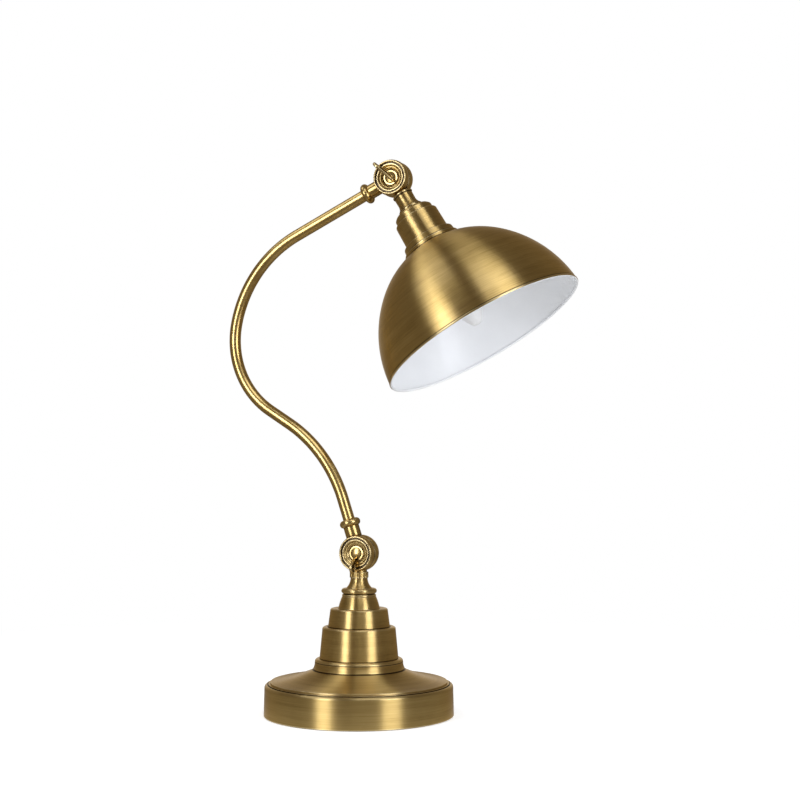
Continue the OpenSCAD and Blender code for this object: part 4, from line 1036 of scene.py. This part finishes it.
CAMERA_AZ = 22.2                               # degrees, camera from -Y towards +X
WHITE = (1.0, 1.0, 1.0)
MATT_FILL = 0.57
# from straight behind the lamp (0) to straight behind the camera (1), as metal sees it
ROOM_STOPS = [(0.0, (0.85, 0.83, 0.80)), (0.03, (0.58, 0.55, 0.51)), (0.10, (0.31, 0.27, 0.22)),
              (0.25, (0.23, 0.19, 0.145)), (0.5, (0.17, 0.14, 0.105)), (1.0, (0.13, 0.105, 0.08))]
FAR_FLOOR = (0.22, 0.185, 0.14)                # the floor far from the lamp, as metal sees it
FADE_OVER = 1.1                                # over which the floor turns plain white
FLOOR_HALF = 6.0


def pale_floor():
    """Matt white floor that keeps the lamp's shadow near the lamp. To the camera and in
    glass it fades with the distance from the lamp to plain white, and in metal it is
    white round the lamp and dims with the distance."""
    f = Finish("floor_white")
    f.finish((0.86, 0.86, 0.86, 1), 0.9)
    path = f.add("ShaderNodeLightPath").outputs
    seen = f.math("MAXIMUM", f.math("MAXIMUM", path["Is Camera Ray"], path["Is Glossy Ray"]),
                  path["Is Transmission Ray"])
    away = f.add("ShaderNodeVectorMath", {0: f.object_point()}, operation="LENGTH").outputs["Value"]
    far = f.ramp(f.math("MULTIPLY", away, 1.0 / FADE_OVER), [(0.16, 0.0), (0.7, 1.0)])
    matt = f.shader.outputs[0]
    lifted = f.add("ShaderNodeAddShader", {0: matt, 1: f.glow(WHITE, 0.42)}).outputs[0]
    sheet = f.mixed(seen, matt, f.mixed(far, lifted, f.glow(WHITE)))
    beyond = f.ramp(away, [(0.06, 0.25), (0.12, 0.80), (0.34, 1.0)])
    dimmed = f.mixed(f.math("MULTIPLY", beyond, path["Is Glossy Ray"]), sheet, f.glow(FAR_FLOOR))
    f.put(f.tree.nodes["Material Output"], "Surface", dimmed)
    return f.mat


floor_mesh = bpy.data.meshes.new("studio_floor")
floor_mesh.from_pydata([(x * FLOOR_HALF, y * FLOOR_HALF, 0)
                        for x, y in ((-1, -1), (1, -1), (1, 1), (-1, 1))], [], [(0, 1, 2, 3)])
floor_mesh.materials.append(pale_floor())
floor = bpy.data.objects.new("studio_floor", floor_mesh)
bpy.context.scene.collection.objects.link(floor)


def studio_world():
    """Plain white to the camera. Metal sees white straight behind the lamp, and a dim,
    slightly warm room elsewhere. Matt surfaces get an even soft light."""
    world = bpy.data.worlds.new("studio")
    bpy.context.scene.world = world
    world.use_nodes = True
    world.node_tree.nodes.clear()
    w = Tree(world.node_tree)
    path = w.add("ShaderNodeLightPath").outputs
    direction = w.add("ShaderNodeTexCoord").outputs["Generated"]
    split = w.add("ShaderNodeSeparateXYZ", {0: direction}).outputs
    a = math.radians(CAMERA_AZ)
    toward_camera = w.weighted((split[1], -math.cos(a)), (split[0], math.sin(a)))
    room = w.ramp(w.weighted((toward_camera, 0.5), plus=0.5), ROOM_STOPS)
    view = w.math("MAXIMUM", path["Is Camera Ray"], path["Is Transmission Ray"])
    lit = w.blend(path["Is Glossy Ray"], (MATT_FILL, MATT_FILL, MATT_FILL), room)
    back = w.add("ShaderNodeBackground", {"Color": w.blend(view, lit, WHITE)})
    w.add("ShaderNodeOutputWorld", {"Surface": back.outputs[0]})


studio_world()

COOL = (0.98, 1.0, 1.07)                       # daylight lamps against the warm room
# azimuth, distance, height, width, tallness, watts, and the height on the lamp aimed at.
# The two high ones make the two fans on the dome.
SOFTBOXES = {
    "softbox_left": (CAMERA_AZ - 42, 1.7, 0.50, 0.52, 1.0, 12, 0.2),
    "softbox_right": (CAMERA_AZ + 39, 1.7, 0.50, 0.68, 1.0, 12, 0.2),
    "softbox_high_left": (-62, 1.05, 1.60, 0.95, 0.8, 4, 0.37),
    "softbox_high_right": (38, 1.05, 1.60, 1.0, 0.8, 6, 0.37),
}


def softbox(name, azimuth, distance, height, width, tall, power, aim):
    """Rectangular area light at an azimuth round the lamp, aimed at a height on it."""
    a = math.radians(azimuth)
    at = np.array([math.sin(a) * distance, -math.cos(a) * distance, height])
    data = bpy.data.lights.new(name, "AREA")
    data.shape, data.size, data.size_y, data.energy = "RECTANGLE", width, tall, power
    data.color = COOL
    obj = bpy.data.objects.new(name, data)
    bpy.context.scene.collection.objects.link(obj)
    obj.location = at
    aimed = Vector(np.array([0.02, 0.0, aim]) - at)
    obj.rotation_euler = aimed.to_track_quat("-Z", "Y").to_euler()


for box_name, box_values in SOFTBOXES.items():
    softbox(box_name, *box_values)

# camera: where the photograph was taken from, worked out from the base and the joints
LENS, SENSOR = 66.19, 36.0                     # millimetres
CAMERA_AT = (0.4723, -1.1573, 0.2108)
LOOKS_UP, LOOKS_RIGHT = 2.503, 1.585           # degrees off level and off the camera's azimuth
cam = bpy.data.cameras.new("camera")
cam.lens, cam.sensor_width = LENS, SENSOR
cam_obj = bpy.data.objects.new("camera", cam)
cam_obj.location = CAMERA_AT
cam_obj.rotation_euler = (math.radians(90 + LOOKS_UP), 0.0,
                          math.radians(CAMERA_AZ - LOOKS_RIGHT))
bpy.context.scene.collection.objects.link(cam_obj)
bpy.context.scene.camera = cam_obj
bpy.context.scene.view_settings.view_transform = "Standard"

bpy.context.view_layer.update()
